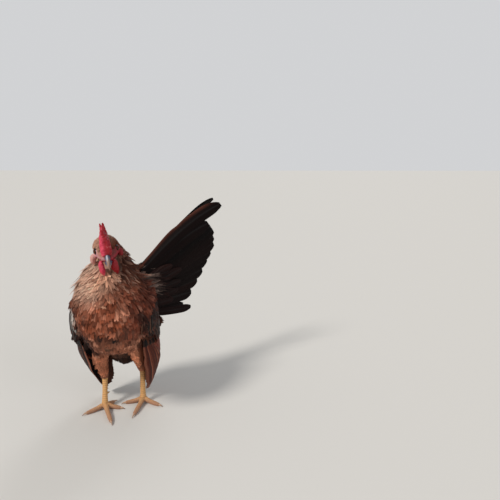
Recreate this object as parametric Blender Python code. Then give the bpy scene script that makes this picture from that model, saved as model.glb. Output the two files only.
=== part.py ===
"""A serama cock standing with a high breast, hanging wings and its tail swung to its left, life size.

Metres, +Z up. The cock faces -Y and its left side is +X. Sizes below are in millimetres, measured
from the point on the ground midway between its feet, and the whole bird is then set with the
middle of its box over the origin.
"""

import bisect
import math

import bmesh
import bpy
from mathutils import Euler, Matrix, Vector

MM = 0.001
GAP = 0.3  # between pieces that meet

# Where the point between the feet lies, so that the origin is under the middle of the bird's box
FEET_PLACE = (-25.4, -40.8)

# Trunk and neck: height, half width, reach forward, reach back, middle's place to the side
BODY = (
    (45, 6, -25, 39, -4),
    (49, 12, -20, 43, -4),
    (57, 19, -12, 47, -4),
    (67, 25, 0, 50, -3.5),
    (75, 28.5, 17, 51, -3),
    (79, 30.5, 29, 51, -2.5),
    (85, 33, 41, 51, -2),
    (95, 36.5, 50, 52, -1.5),
    (107, 39.5, 56, 54, -2.5),
    (119, 41.5, 58, 55, -4),
    (131, 42.5, 56, 54, -6),
    (142, 40.5, 50, 50, -7.5),
    (151, 37, 41, 44, -8.8),
    (161, 33.5, 27, 38, -10),
    (169, 30, 13, 33, -9.5),
    (176, 25, 5, 29, -8),
    (182, 19.5, -1, 26, -7.5),
    (188, 13.5, -5, 23.5, -8),
    (194, 9.5, -9, 21, -9),
    (200, 5, -12, 17.5, -9.5),
)
BODY_SIDES = 24
NECK_HEIGHT = 151  # where the trunk ends and the neck begins

# The head's own frame: between the eyes, facing -Y
HEAD_PLACE = (-10, -2, 192)
HEAD_TURN = (8, -8, 17)  # degrees: bill down, crown to its right, bill to its left
HEAD = (  # place along the head, half width, crown, jaw
    (-20, 4.2, 0.5, -6.5),
    (-17.5, 7, 5.5, -9),
    (-12, 10.2, 10.5, -11),
    (-5, 12.8, 13.8, -13),
    (3, 14.3, 15, -14),
    (10, 13.4, 13.4, -13.5),
    (16, 9.6, 8.6, -10.5),
    (19, 4.6, 3.2, -5.5),
)
EYE_PLACE = (10.3, -6.5, 1.8)
EYE_RADIUS = 3.9
EARLOBE_PLACE, EARLOBE_RADII = (14.6, 3, -7.5), (3.2, 4, 5.5)
WATTLE_PLACE, WATTLE_RADII = (7.4, -15.5, -17), (3.3, 6.2, 9.3)
UPPER_BILL = (  # place along, height of the ridge, half width, depth
    (-15, 1.5, 5, 8.5),
    (-20, 1, 4.5, 7.8),
    (-25, -1.4, 3.6, 6.6),
    (-30, -5.2, 2.5, 5),
    (-33.5, -9.2, 1.4, 3.2),
    (-34.6, -12, 0.6, 1.2),
)
LOWER_BILL = ((-14, -6.2, 4.4, 4.6), (-20, -6.8, 3.8, 4), (-25, -8, 2.8, 3.2), (-29.5, -10, 1.4, 1.6))
COMB_BURY = 3  # how far the comb goes into the crown before it is cut
COMB_BASE = ((-21, -1), (-17, 5), (-11, 9), (-3, 12), (6, 12.5), (14, 10), (19, 8))
COMB_TIPS = (  # place along the head, height, thickness at the base and near the tip
    (-20, 8, 10.5, 9.5),
    (-14.5, 18, 10.5, 8),
    (-8, 26, 10, 5),
    (1, 31, 9, 4),
    (10, 28.5, 7, 3.4),
    (17.5, 21, 5, 2.6),
)
COMB_VALLEY = 0.62  # a valley's height between two tips, as a share of theirs

# Wings: height, middle's place to the side, outer face's distance from it, front edge, rear edge,
# and how far out the face still is at those edges, as a share
WING = (
    (141, -7, 43.5, 6, 22, 0.97, 0.95),
    (136, -7, 46.5, -12, 35, 0.9, 0.86),
    (128, -7, 49, -21, 43, 0.82, 0.78),
    (118, -7.5, 51, -27, 48, 0.77, 0.73),
    (104, -7.5, 52, -29, 51, 0.73, 0.7),
    (90, -7, 51.5, -26, 52, 0.68, 0.66),
    (75, -5.5, 50, -18, 52, 0.66, 0.62),
    (60, -5, 46.8, -9, 51, 0.67, 0.57),
    (45, -4, 42, 0, 49, 0.76, 0.54),
    (30, -3.5, 36.3, 11, 47, 0.83, 0.52),
    (18, -3.5, 31.5, 20, 45, 0.88, 0.54),
    (6, -4, 26, 33, 42, 0.92, 0.7),
)
WING_CREST = 0.42  # where the face is furthest out, as a share of the way to the rear edge
WING_COLUMNS = 5
COVERTS_LOW, SECONDARIES_LOW = 90, 44
COVERT_HEIGHTS = (141, 138.5, 134, 128, 119, 109, 99, 94.5, COVERTS_LOW)
COVERT_PAD, COVERT_HEM = 20, 3.5  # how thick the coverts are, down to the body, and at their lower edge
COVERT_TUCK = 99  # the height below which the coverts draw in to their lower edge
SECONDARY_INSET, SECONDARY_THICK = 1.6, 2.2
PRIMARY_HIGH, PRIMARY_LOW, PRIMARY_THICK = 94.2, 6, 2.4
PRIMARY_INSET = (2, 4.8)  # bare tips, and under the secondaries

# Legs, right then left: hip, knee side, hock and ankle, with the foot's toes on the ground
THIGHS = {
    "right": ((-25, -2, 92, 14, 20), (-24.5, -1, 76, 11, 17), (-25, 3, 60, 8.4, 12.5),
              (-24.8, 7, 45, 6, 8), (-24, 9, 33, 4.3, 5)),
    "left": ((16, 2, 92, 14, 20), (17, 4, 76, 11.5, 17), (18, 9, 60, 8.6, 12.5),
             (19, 14.5, 48, 6.2, 8), (19.5, 17.5, 39, 4.4, 5)),
}
SHANKS = {
    "right": ((-24, 9.6, 32), (-21.2, -4.5, 6.5)),
    "left": ((19.6, 18, 38), (20.6, 11.5, 6.5)),
}
SHANK_RADIUS = (3.2, 2.9, 3.7)  # under the hock, halfway and at the ankle
TOES = {
    "right": {"outer": (-42.6, -24.3), "middle": (-1.7, -44.4), "inner": (3.6, -7.7), "hind": (-11, 13)},
    "left": {"outer": (47, -2), "middle": (16.7, -28.7), "inner": (-4.8, 3.8), "hind": (13.5, 32)},
}
TOE_RADIUS = (3.3, 2.6, 2.5, 1.9)  # from the ankle to the claw
TOE_HEIGHT = (5.0, 2.7, 2.0, 1.7)  # of the toe's middle above the ground
CLAW_LENGTH = {"outer": 6, "middle": 7.5, "inner": 6, "hind": 6.5}
CLAW_RADIUS = (1.45, 1.25, 0.9, 0.3)
CLAW_LIFT = (0, 0.15, -0.2, -1.43)  # of its middle from the toe's end; its tip rests on the ground
SPUR_RADIUS = (1.6, 1.2, 0.4)
SPUR_HEIGHT = 11  # above the ankle, along the shank
SOLE_DEPTH = 4  # the floor that the feet's flats are cut on

# Tail: where its middle plane starts and how it swings, then each side's feathers from the
# ridge down: root's height, rise in degrees, length, width, bow
TAIL_ROOT = (4.8, 41, 126)
TAIL_SWING = 45  # degrees to the left of straight back
TAIL_FEATHERS = (
    (15, 29, 131, 20, 6),
    (10, 25.5, 135, 22, 5),
    (5, 20.5, 130, 22, 3),
    (0, 15.5, 114, 21, 1),
    (-6, 6.5, 94, 19, 0),
    (-12, 1, 84, 17, -1),
    (-21, -7, 84, 11, -2),
)
SICKLES = {"left": (20, 30.5, 161.5, 17, 8.3), "right": (0, 39, 173, 12, 8.5)}
LAYER = 1.15  # from one tail feather to the next in the stack
TAIL_THICK = (0.6, 0.86)  # of a tail feather, at its edges and its shaft
TENT_RIDGE, TENT_OPEN, TENT_EASE = -6.4, 14, 25  # the tail's two sides lean together at its ridge
TAIL_CLIMB = 12  # degrees, of the rump
# Along the rump, then its half height and half width
TAIL_BASE = ((-18, 20, 18), (0, 28, 18), (16, 29, 14.5), (30, 24, 10), (42, 16, 6), (48, 8, 3))


def smooth(table, place):
    """The values of a table of stations at one place, on cubics that pass through the stations."""
    places = [row[0] for row in table]
    last = len(table) - 1
    i = max(0, min(last - 1, bisect.bisect_right(places, place) - 1))
    span = places[i + 1] - places[i]
    t = (place - places[i]) / span
    values = []
    for column in range(1, len(table[0])):
        height = [row[column] for row in table]

        def slope(k):
            below, above = max(0, k - 1), min(last, k + 1)
            return (height[above] - height[below]) / (places[above] - places[below]) * span

        a, b = height[i], height[i + 1]
        ma, mb = slope(i), slope(i + 1)
        values.append(
            a * (2 * t**3 - 3 * t**2 + 1) + ma * (t**3 - 2 * t**2 + t)
            + b * (3 * t**2 - 2 * t**3) + mb * (t**3 - t**2)
        )
    return values


def clear_scene():
    for thing in list(bpy.data.objects):
        bpy.data.objects.remove(thing)


def finish_named(name, colour, roughness):
    """A plain painted finish."""
    material = bpy.data.materials.new(name)
    material.use_nodes = True
    shader = material.node_tree.nodes["Principled BSDF"]
    shader.inputs["Base Color"].default_value = (*colour, 1)
    shader.inputs["Roughness"].default_value = roughness
    shader.inputs["Metallic"].default_value = 0
    return material


def place_mesh(name, bm, material, parent):
    """Makes an object of a bmesh, in triangles so that every face is flat for the cuts."""
    bmesh.ops.triangulate(bm, faces=bm.faces)
    bmesh.ops.recalc_face_normals(bm, faces=bm.faces)
    if bm.calc_volume(signed=True) < 0:
        bmesh.ops.reverse_faces(bm, faces=bm.faces)
    mesh = bpy.data.meshes.new(name)
    bm.to_mesh(mesh)
    bm.free()
    mesh.materials.append(material)
    mesh.shade_smooth()
    mesh.set_sharp_from_angle(angle=math.radians(40))
    thing = bpy.data.objects.new(name, mesh)
    bpy.context.scene.collection.objects.link(thing)
    thing.parent = parent
    return thing


def loft(name, rings, material, parent):
    """One closed body through rings of the same number of points, given in millimetres."""
    bm = bmesh.new()
    loops = [[bm.verts.new(Vector(point) * MM) for point in ring] for ring in rings]
    count = len(rings[0])
    for low, high in zip(loops, loops[1:]):
        for k in range(count):
            n = (k + 1) % count
            bm.faces.new((low[k], low[n], high[n], high[k]))
    bm.faces.new(loops[0][::-1])
    bm.faces.new(loops[-1])
    return place_mesh(name, bm, material, parent)


def oval(centre, across, along, sides):
    """A ring of points about a centre, with its two half axes as vectors."""
    return [
        Vector(centre) + Vector(across) * math.cos(turn) + Vector(along) * math.sin(turn)
        for turn in (2 * math.pi * k / sides for k in range(sides))
    ]


def tube(name, path, radii, sides, material, parent, flatten=1.0):
    """A bent rod with round ends, through the points of a path. It is flattened upwards."""
    path = [Vector(point) for point in path]
    rings = []
    for k, point in enumerate(path):
        ahead = (path[min(k + 1, len(path) - 1)] - path[max(k - 1, 0)]).normalized()
        side = ahead.cross(Vector((0, 0, 1)))
        if side.length < 0.1:
            side = Vector((1, 0, 0))
        side.normalize()
        up = side.cross(ahead)
        rings.append(oval(point, side * radii[k], up * radii[k] * flatten, sides))
    return loft(name, rings, material, parent)


def helper(thing):
    """Keeps a cutter out of the model."""
    thing.hide_render = True
    thing.display_type = "WIRE"
    return thing


def carve(thing, *cutters, operation="DIFFERENCE"):
    """Cuts other pieces out of this one, or joins them to it."""
    for cutter in cutters:
        step = thing.modifiers.new(cutter.name, "BOOLEAN")
        step.operation = operation
        step.object = helper(cutter)
    return thing


def body_stack(name, low, high, grow, material, parent):
    """Trunk and neck between two heights, as level rings. grow makes it that much wider."""
    heights = sorted({low, high, *(row[0] for row in BODY if low < row[0] < high)})
    rings = []
    for height in heights:
        half, forward, back, side = smooth(BODY, height)
        middle = (back - forward) / 2
        reach = (back + forward) / 2
        across, along = (half + grow, 0, 0), (0, reach + grow, 0)
        rings.append(oval((side, middle, height), across, along, BODY_SIDES))
    return loft(name, rings, material, parent)


def head_stack(name, grow, material, parent):
    rings = []
    for place, half, crown, jaw in HEAD:
        middle = (crown + jaw) / 2
        rise = (crown - jaw) / 2
        rings.append(oval((0, place, middle), (half + grow, 0, 0), (0, 0, rise + grow), 16))
    return loft(name, rings, material, parent)


def ball(name, centre, radii, material, parent, detail=(14, 9)):
    """An egg shape on its three half axes."""
    bm = bmesh.new()
    bmesh.ops.create_uvsphere(bm, u_segments=detail[0], v_segments=detail[1], radius=1)
    bmesh.ops.transform(bm, verts=bm.verts, matrix=Matrix.Diagonal((*(r * MM for r in radii), 1)))
    bmesh.ops.translate(bm, verts=bm.verts, vec=Vector(centre) * MM)
    return place_mesh(name, bm, material, parent)


def comb(material, parent):
    """The single comb: a blade whose edge runs over its tips and down into the valleys between."""
    edge = [(COMB_BASE[0][0] - 0.5, COMB_BASE[0][1] + 3, 7, 6)]
    for k, tip in enumerate(COMB_TIPS):
        edge.append(tip)
        if k + 1 < len(COMB_TIPS):
            along, high, base, thin = ((a + b) / 2 for a, b in zip(tip, COMB_TIPS[k + 1]))
            low = smooth(COMB_BASE, along)[0]
            edge.append((along, low + (high - low) * COMB_VALLEY, base, thin))
    edge.append((COMB_BASE[-1][0] + 2, COMB_BASE[-1][1] + 7, 4, 2))
    rings = []
    for k, (along, top, base, thin) in enumerate(edge):
        root_along = COMB_BASE[0][0] + (COMB_BASE[-1][0] - COMB_BASE[0][0]) * k / (len(edge) - 1)
        root = smooth(COMB_BASE, root_along)[0] - COMB_BURY
        flank = []
        for level, thick in ((0, base), (0.6, (base + thin) / 2)):
            place = root_along + (along - root_along) * level
            flank.append((thick / 2, place, root + (top - root) * level))
        mirrored = [(-x, y, z) for x, y, z in reversed(flank)]
        rings.append([*flank, (thin * 0.3, along, top), (-thin * 0.3, along, top), *mirrored])
    return loft("comb", rings, material, parent)


def upper_bill(material, parent, grow=0.0):
    """From the forehead to the hooked tip."""
    rings = [
        oval((0, along, ridge - depth / 2), (half + grow, 0, 0), (0, 0, depth / 2 + grow), 12)
        for along, ridge, half, depth in UPPER_BILL
    ]
    return loft("beak_upper", rings, material, parent)


def lower_bill(material, parent):
    rings = [
        oval((0, along, ridge - depth / 2), (half, 0, 0), (0, 0, depth / 2), 10)
        for along, ridge, half, depth in LOWER_BILL
    ]
    return loft("beak_lower", rings, material, parent)


def wing_face(side, share, height):
    """How far to the side the wing's outer face is, at a share of the way to its rear edge."""
    middle, out, _, _, front_share, rear_share = smooth(WING[::-1], height)
    if share < WING_CREST:
        turn = ((WING_CREST - share) / WING_CREST) ** 2
        drop = (1 - front_share) * turn
    else:
        turn = ((share - WING_CREST) / (1 - WING_CREST)) ** 2
        drop = (1 - rear_share) * turn
    body_middle = smooth(BODY, height)[3] if height > BODY[0][0] else middle
    return middle + (body_middle - middle) * min(1, turn) + side * out * (1 - drop)


def wing_edges(height):
    return smooth(WING[::-1], height)[2:4]


def wing_layer(name, side, heights, edges, inset, thickness, material, parent, grow=0.0):
    """A plate of the folded wing: rings at these heights, from its front edge to its rear edge."""
    rings = []
    for height in heights:
        whole_front, whole_rear = wing_edges(height)
        front, rear = edges(height)
        front -= grow
        rear += grow
        outer, inner = [], []
        for k in range(WING_COLUMNS):
            step = k / (WING_COLUMNS - 1)
            along = front + (rear - front) * step
            share = (along - whole_front) / (whole_rear - whole_front)
            bulge = 0.3 + 0.7 * math.sqrt(max(0, 4 * step * (1 - step)))
            face = wing_face(side, share, height) - side * (inset(height) - grow)
            outer.append((face, along, height))
            inner.append((face - side * (thickness(height) * bulge + 2 * grow), along, height))
        rings.append(outer + inner[::-1])
    return loft(name, rings, material, parent)


def stepped(low, high, count, depth):
    """Heights for a row of feather tips, and how far each height stands out at the rear edge."""
    pitch = (high - low) / count
    steps = []
    for k in range(count):
        top = high - k * pitch
        steps += [(top, 0), (top - 0.55 * pitch, depth), (top - 0.93 * pitch, depth * 0.6)]
    return steps + [(low, 0)]


def wing(side_name, materials, parent, body_cutter):
    """Coverts, secondaries and primaries of one folded wing, in three layers from outside in."""
    side = 1 if side_name == "left" else -1

    def covert_edges(height):
        front, rear = wing_edges(height)
        tuck = max(0, COVERT_TUCK - height)
        return front + tuck * 0.4, rear - tuck * 1.1

    def covert_depth(height):
        return COVERT_HEM if height < COVERT_TUCK - 1 else COVERT_PAD

    steps = dict(stepped(SECONDARIES_LOW, COVERTS_LOW - GAP, 5, 2.6))

    def secondary_edges(height):
        front, rear = wing_edges(height)
        narrow = max(0, 75 - height) * 0.7
        return front + 17 + narrow, rear + steps.get(height, 0) - narrow * 0.2

    tips = dict(stepped(PRIMARY_LOW, 60, 5, 2.2))

    def primary_edges(height):
        front, rear = wing_edges(height)
        return front + 0.5, rear - 2 - max(0, height - 50) * 0.5 + tips.get(height, 0)

    def primary_inset(height):
        bare, covered = PRIMARY_INSET
        return bare + (covered - bare) * max(0, min(1, (height - 26) / 20))

    def level(value):
        return lambda height: value

    layers = {
        "coverts": (COVERT_HEIGHTS, covert_edges, level(0), covert_depth),
        "secondaries": (list(steps), secondary_edges, level(SECONDARY_INSET), level(SECONDARY_THICK)),
        "primaries": ([PRIMARY_HIGH, 84, 72, *tips], primary_edges, primary_inset, level(PRIMARY_THICK)),
    }
    for (part, layer), material in zip(layers.items(), materials):
        carve(wing_layer(f"wing_{side_name}_{part}", side, *layer, material, parent), body_cutter)
    return wing_layer(f"cut_wing_{side_name}", side, *layers["coverts"], materials[0], parent, GAP)


def thigh(side_name, material, parent, body_cutter):
    rings = [
        oval((x, y, z), (across, 0, 0), (0, along, 0), 16)
        for x, y, z, across, along in THIGHS[side_name]
    ]
    return carve(loft(f"thigh_{side_name}", rings, material, parent), body_cutter)


def shank_and_foot(side_name, skin, horn, parent, floor):
    """The bare shank, the four toes in one piece on flat soles, the claws and the spur."""
    hock, ankle = (Vector(point) for point in SHANKS[side_name])
    down = (ankle - hock).normalized()
    top, middle, low = SHANK_RADIUS
    shank_end = ankle - down * 4
    path = [hock + down * 1.4, hock + down * 5, (hock + shank_end) / 2, shank_end - down * 2, shank_end]
    radii = (top, middle + 0.1, middle, middle + 0.3, low - 0.3)
    tube(f"shank_{side_name}", path, radii, 12, skin, parent)
    path = [shank_end + down * GAP, ankle - down, ankle + down * 3.5]
    foot = tube(f"foot_{side_name}", path, (low - 0.3, low, low - 0.9), 12, skin, parent)
    toes = []
    for toe_name, tip in TOES[side_name].items():
        way = Vector((tip[0], tip[1], 0)) - Vector((ankle.x, ankle.y, 0))
        claw = CLAW_LENGTH[toe_name]
        length = way.length - claw
        way.normalize()
        path, radii = [], []
        for share, height, radius in zip((0, 0.42, 0.75, 1), TOE_HEIGHT, TOE_RADIUS):
            path.append(Vector((ankle.x, ankle.y, height)) + way * length * share)
            radii.append(radius)
        toes.append(tube(f"toe_{side_name}_{toe_name}", path, radii, 8, skin, parent))
        claw_root = path[-1] + way * GAP
        claw_path = []
        for share, lift in zip((0, 0.35, 0.7, 1), CLAW_LIFT):
            claw_path.append(claw_root + way * (claw - GAP) * share + Vector((0, 0, lift)))
        tube(f"claw_{side_name}_{toe_name}", claw_path, CLAW_RADIUS, 6, horn, parent)
    carve(foot, *toes, operation="UNION")
    carve(foot, floor)
    side = 1 if side_name == "left" else -1
    spur_root = ankle - down * SPUR_HEIGHT
    spur_way = Vector((-side * 0.8, 0.75, -0.1)).normalized()
    spur_path = [spur_root + spur_way * reach for reach in (1.6, 4.2, 6)]
    spur = tube(f"spur_{side_name}", spur_path, SPUR_RADIUS, 8, horn, parent)
    path = [hock, shank_end + down * 2]
    shank_cutter = tube(f"cut_shank_{side_name}", path, (middle + 0.35, middle + 0.5), 12, skin, parent)
    carve(spur, shank_cutter)


def arch(bow, share):
    """How far a bowed feather has risen from the straight line at a share of its length."""
    return bow * 4 * share * (1 - share) * (0.7 + 0.6 * share)


def tail_place(side, reach, rise, layer, push):
    """A point of the tail: its level reach and its height from the root, and which layer it is in."""
    root, climb, length, width, bow = SICKLES["left"]
    share = max(0, min(1, reach / (length * math.cos(math.radians(climb)))))
    ridge = root + width / 2 + reach * math.tan(math.radians(climb)) + arch(bow, share)
    below = max(0, ridge - rise)
    out = TENT_RIDGE + TENT_OPEN * (1 - math.exp(-below / TENT_EASE)) + layer * LAYER + push
    swing = math.radians(TAIL_SWING)
    back = Vector((math.sin(swing), math.cos(swing), 0))
    across = Vector((math.cos(swing), -math.sin(swing), 0))
    return Vector(TAIL_ROOT) + back * reach + across * (side * out) + Vector((0, 0, rise))


def tail_feather(name, side, layer, shape, material, parent):
    """One long blade, thicker along its shaft, that lies in its layer of the stack."""
    root, climb, length, width, bow = shape
    climb = math.radians(climb)
    edge, shaft = TAIL_THICK
    rings = []
    for share in (0.08, 0.3, 0.52, 0.7, 0.83, 0.93, 0.98, 1.0):
        body = min(1, 0.4 + 1.4 * share)
        tip = math.sqrt(max(0.004, 1 - max(0, (share - 0.72) / 0.29) ** 2.2))
        half = width / 2 * body * tip
        lift = arch(bow, share)
        reach = share * length * math.cos(climb) - lift * math.sin(climb)
        height = root + share * length * math.sin(climb) + lift * math.cos(climb)

        ring = []
        for face in (1, -1):
            for across, thick in ((half, edge), (0, shaft), (-half, edge)):
                along = reach - face * across * math.sin(climb)
                rise = height + face * across * math.cos(climb)
                ring.append(tail_place(side, along, rise, layer, face * thick / 2))
        rings.append(ring)
    return loft(name, rings, material, parent)


def tail_base(name, grow, material, parent):
    """The rump and the coverts round the roots of the tail."""
    swing, climb = math.radians(TAIL_SWING), math.radians(TAIL_CLIMB)
    way = Vector((math.sin(swing) * math.cos(climb), math.cos(swing) * math.cos(climb), math.sin(climb)))
    across = (Vector((0, 0, 1)) - way * way.z).normalized()
    side = way.cross(across)
    rings = []
    for reach, rise, half in TAIL_BASE:
        centre = Vector(TAIL_ROOT) + way * reach + Vector((0, 0, 2))
        rings.append(oval(centre, side * (half + grow), across * (rise + grow), 20))
    return loft(name, rings, material, parent)


def build():
    clear_scene()
    bird = bpy.data.objects.new("bird_place", None)
    head_pose = bpy.data.objects.new("head_pose", None)
    for empty in (bird, head_pose):
        bpy.context.scene.collection.objects.link(empty)
    bird.location = Vector((*FEET_PLACE, 0)) * MM
    head_pose.parent = bird
    head_pose.location = Vector(HEAD_PLACE) * MM
    turn = [math.radians(angle) for angle in HEAD_TURN]
    head_pose.rotation_euler = Euler(turn, "XYZ")

    plumage = finish_named("plumage_gold", (0.42, 0.22, 0.11), 0.8)
    dark = finish_named("plumage_dark", (0.03, 0.022, 0.02), 0.5)
    bay = finish_named("plumage_bay", (0.16, 0.045, 0.025), 0.6)
    red = finish_named("comb_red", (0.55, 0.02, 0.05), 0.45)
    lobe = finish_named("earlobe_pink", (0.62, 0.16, 0.18), 0.6)
    yellow = finish_named("leg_scale", (0.75, 0.48, 0.16), 0.5)
    horn = finish_named("horn", (0.55, 0.42, 0.28), 0.35)
    eye = finish_named("eye_dark", (0.03, 0.012, 0.006), 0.1)

    body_cutter = body_stack("cut_body", BODY[0][0], BODY[-1][0], GAP, plumage, bird)
    head_cutter = head_stack("cut_head", GAP, plumage, head_pose)
    body_stack("trunk", BODY[0][0], NECK_HEIGHT - GAP / 2, 0, plumage, bird)
    neck = body_stack("neck", NECK_HEIGHT + GAP / 2, BODY[-1][0], 0, plumage, bird)
    carve(neck, head_cutter)

    head = head_stack("head", 0, plumage, head_pose)
    for side_name, side in (("right", -1), ("left", 1)):
        centre = (side * EYE_PLACE[0], EYE_PLACE[1], EYE_PLACE[2])
        ball(f"eye_{side_name}", centre, [EYE_RADIUS] * 3, eye, head_pose, (12, 7))
        socket = ball(f"cut_eye_{side_name}", centre, [EYE_RADIUS + GAP] * 3, eye, head_pose, (12, 7))
        carve(head, socket)
        centre = (side * EARLOBE_PLACE[0], *EARLOBE_PLACE[1:])
        earlobe = ball(f"earlobe_{side_name}", centre, EARLOBE_RADII, lobe, head_pose, (10, 7))
        centre = (side * WATTLE_PLACE[0], *WATTLE_PLACE[1:])
        wattle = ball(f"wattle_{side_name}", centre, WATTLE_RADII, red, head_pose, (12, 8))
        carve(earlobe, head_cutter, body_cutter)
        carve(wattle, head_cutter, body_cutter)
    crest = carve(comb(red, head_pose), head_cutter)

    upper = upper_bill(horn, head_pose)
    carve(upper, head_cutter)
    upper_cutter = upper_bill(horn, head_pose, GAP)
    upper_cutter.name = "cut_upper_bill"
    lower = lower_bill(horn, head_pose)
    carve(lower, head_cutter, upper_cutter)
    carve(crest, upper_cutter, body_cutter)

    wing_cutters = []
    for side_name in ("right", "left"):
        wing_cutters.append(wing(side_name, (plumage, bay, dark), bird, body_cutter))
        thigh(side_name, plumage, bird, body_cutter)

    bpy.ops.mesh.primitive_cube_add(size=1, location=(0, 0, -SOLE_DEPTH / 2 * MM))
    floor = helper(bpy.context.active_object)
    floor.name = "cut_floor"
    floor.scale = (0.4, 0.4, SOLE_DEPTH * MM)
    for side_name in ("right", "left"):
        shank_and_foot(side_name, yellow, horn, bird, floor)

    carve(tail_base("tail_base", 0, plumage, bird), body_cutter, *wing_cutters)
    base_cutter = tail_base("cut_tail_base", GAP, plumage, bird)
    for side_name, side in (("left", 1), ("right", -1)):
        for k, shape in enumerate(TAIL_FEATHERS):
            name = f"tail_{side_name}_{k + 1}"
            feather = tail_feather(name, side, len(TAIL_FEATHERS) - k, shape, dark, bird)
            carve(feather, base_cutter, body_cutter)
        layer = len(TAIL_FEATHERS) + 1
        sickle = tail_feather(f"sickle_{side_name}", side, layer, SICKLES[side_name], dark, bird)
        carve(sickle, base_cutter, body_cutter)


build()
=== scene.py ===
import math

import bmesh
import bpy
import numpy as np
from mathutils import Euler, Matrix, Vector, noise
from mathutils.bvhtree import BVHTree
from mathutils.kdtree import KDTree

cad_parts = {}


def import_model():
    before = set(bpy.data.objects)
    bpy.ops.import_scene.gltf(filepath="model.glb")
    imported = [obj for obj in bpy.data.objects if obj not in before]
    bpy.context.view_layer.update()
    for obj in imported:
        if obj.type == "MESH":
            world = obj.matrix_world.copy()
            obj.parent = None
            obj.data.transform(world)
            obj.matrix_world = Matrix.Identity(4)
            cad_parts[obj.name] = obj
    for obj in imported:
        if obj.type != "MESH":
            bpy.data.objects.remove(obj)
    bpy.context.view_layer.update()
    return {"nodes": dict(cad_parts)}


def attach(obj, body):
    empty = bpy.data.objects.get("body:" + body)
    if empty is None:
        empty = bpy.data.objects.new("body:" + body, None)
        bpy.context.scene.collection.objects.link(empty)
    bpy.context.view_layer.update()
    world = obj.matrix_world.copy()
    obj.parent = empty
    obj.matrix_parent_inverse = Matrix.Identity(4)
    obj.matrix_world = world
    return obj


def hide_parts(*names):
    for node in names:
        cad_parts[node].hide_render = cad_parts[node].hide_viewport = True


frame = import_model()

# A serama cock: one skin, horn and eyes, and a coat of feathers in solid mesh. Sizes are in
# millimetres from the point on the ground between its feet, as in the solids.
MM = 0.001
FEET = np.array((-25.4, -40.8, 0.0))

# The head's own frame, between the eyes and facing -Y
HEAD_PLACE = np.array((-10.0, -2.0, 192.0))
HEAD_TURN = (8, -8, 17)
EYE_PLACE = np.array((10.3, -6.5, 1.8))
EYE_RADIUS = 3.9
LID_TURN = 28  # degrees that the lids' plane looks forward
LID_OUT = 2.3  # from the eye's middle to the lids' plane

HOCKS = {"right": (-24, 9.6, 32), "left": (19.6, 18, 38)}
ANKLES = {"right": (-21.2, -4.5, 6.5), "left": (20.6, 11.5, 6.5)}
TOES = {
    "right": {"outer": (-42.6, -24.3), "middle": (-1.7, -44.4), "inner": (3.6, -7.7), "hind": (-11, 13)},
    "left": {"outer": (47, -2), "middle": (16.7, -28.7), "inner": (-4.8, 3.8), "hind": (13.5, 32)},
}
CLAW_LENGTH = {"outer": 6, "middle": 7.5, "inner": 6, "hind": 6.5}
TOE_END = 1.7  # height of a toe's middle where its claw starts
SPUR_HEIGHT = 11  # above the ankle, along the shank

# The bill: place along the head, height of the ridge, half width, depth
UPPER_BILL = (
    (-34.6, -12, 0.35, 1.2),
    (-33.5, -9.2, 0.65, 3.2),
    (-30, -5.2, 1.3, 5),
    (-25, -1.4, 2.2, 6.6),
    (-20, 1, 3.2, 7.8),
    (-15, 1.5, 4.3, 8.5),
)
LOWER_BILL = ((-29.5, -10, 1.4, 1.6), (-25, -8, 2.8, 3.2), (-20, -6.8, 3.8, 4), (-14, -6.2, 4.4, 4.6))

# A wing's outer face: height, middle's place to the side, distance from it, front edge, rear edge,
# and how far out the face still is at those edges, as a share
WING = (
    (6, -4, 26, 33, 42, 0.92, 0.7),
    (18, -3.5, 31.5, 20, 45, 0.88, 0.54),
    (30, -3.5, 36.3, 11, 47, 0.83, 0.52),
    (45, -4, 42, 0, 49, 0.76, 0.54),
    (60, -5, 46.8, -9, 51, 0.67, 0.57),
    (75, -5.5, 50, -18, 52, 0.66, 0.62),
    (90, -7, 51.5, -26, 52, 0.68, 0.66),
    (104, -7.5, 52, -29, 51, 0.73, 0.7),
    (118, -7.5, 51, -27, 48, 0.77, 0.73),
    (128, -7, 49, -21, 43, 0.82, 0.78),
    (136, -7, 46.5, -12, 35, 0.9, 0.86),
    (141, -7, 43.5, 6, 22, 0.97, 0.95),
)
WING_HEIGHTS = (WING[0][0], WING[-1][0])
WING_CREST = 0.42  # where the face is furthest out, as a share of the way to the rear edge
TRUNK_SIDE = ((45, -4), (75, -3), (107, -2.5), (119, -4), (131, -6), (142, -7.5))

# The tail, as in the solids: root's height, rise in degrees, length, width, bow
TAIL_ROOT = np.array((4.8, 41.0, 126.0))
TAIL_SWING = math.radians(45)
TAIL_FEATHERS = (
    (15, 29, 131, 20, 6),
    (10, 25.5, 135, 22, 5),
    (5, 20.5, 130, 22, 3),
    (0, 15.5, 114, 21, 1),
    (-6, 6.5, 94, 19, 0),
    (-12, 1, 84, 17, -1),
    (-21, -7, 84, 11, -2),
)
TAIL_COVERTS = (
    (8, 24, 58, 11, 2),
    (3, 18, 70, 12, 1),
    (-2, 10, 66, 11, 0),
    (-7, 5, 62, 10, -1),
    (-12, -2, 54, 10, -1),
)
SICKLES = {"left": (20, 30.5, 161.5, 17, 8.3), "right": (0, 39, 173, 12, 8.5)}
LAYER = 1.15  # from one feather of the tail's stack to the next
HIDDEN = 0.08  # share of a tail feather's length that stays in the skin
# The tail's sides lean apart below its ridge: place at the ridge, how far they open, over what depth
TENT_RIDGE, TENT_OPEN, TENT_EASE = -6.4, 14, 25

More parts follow.
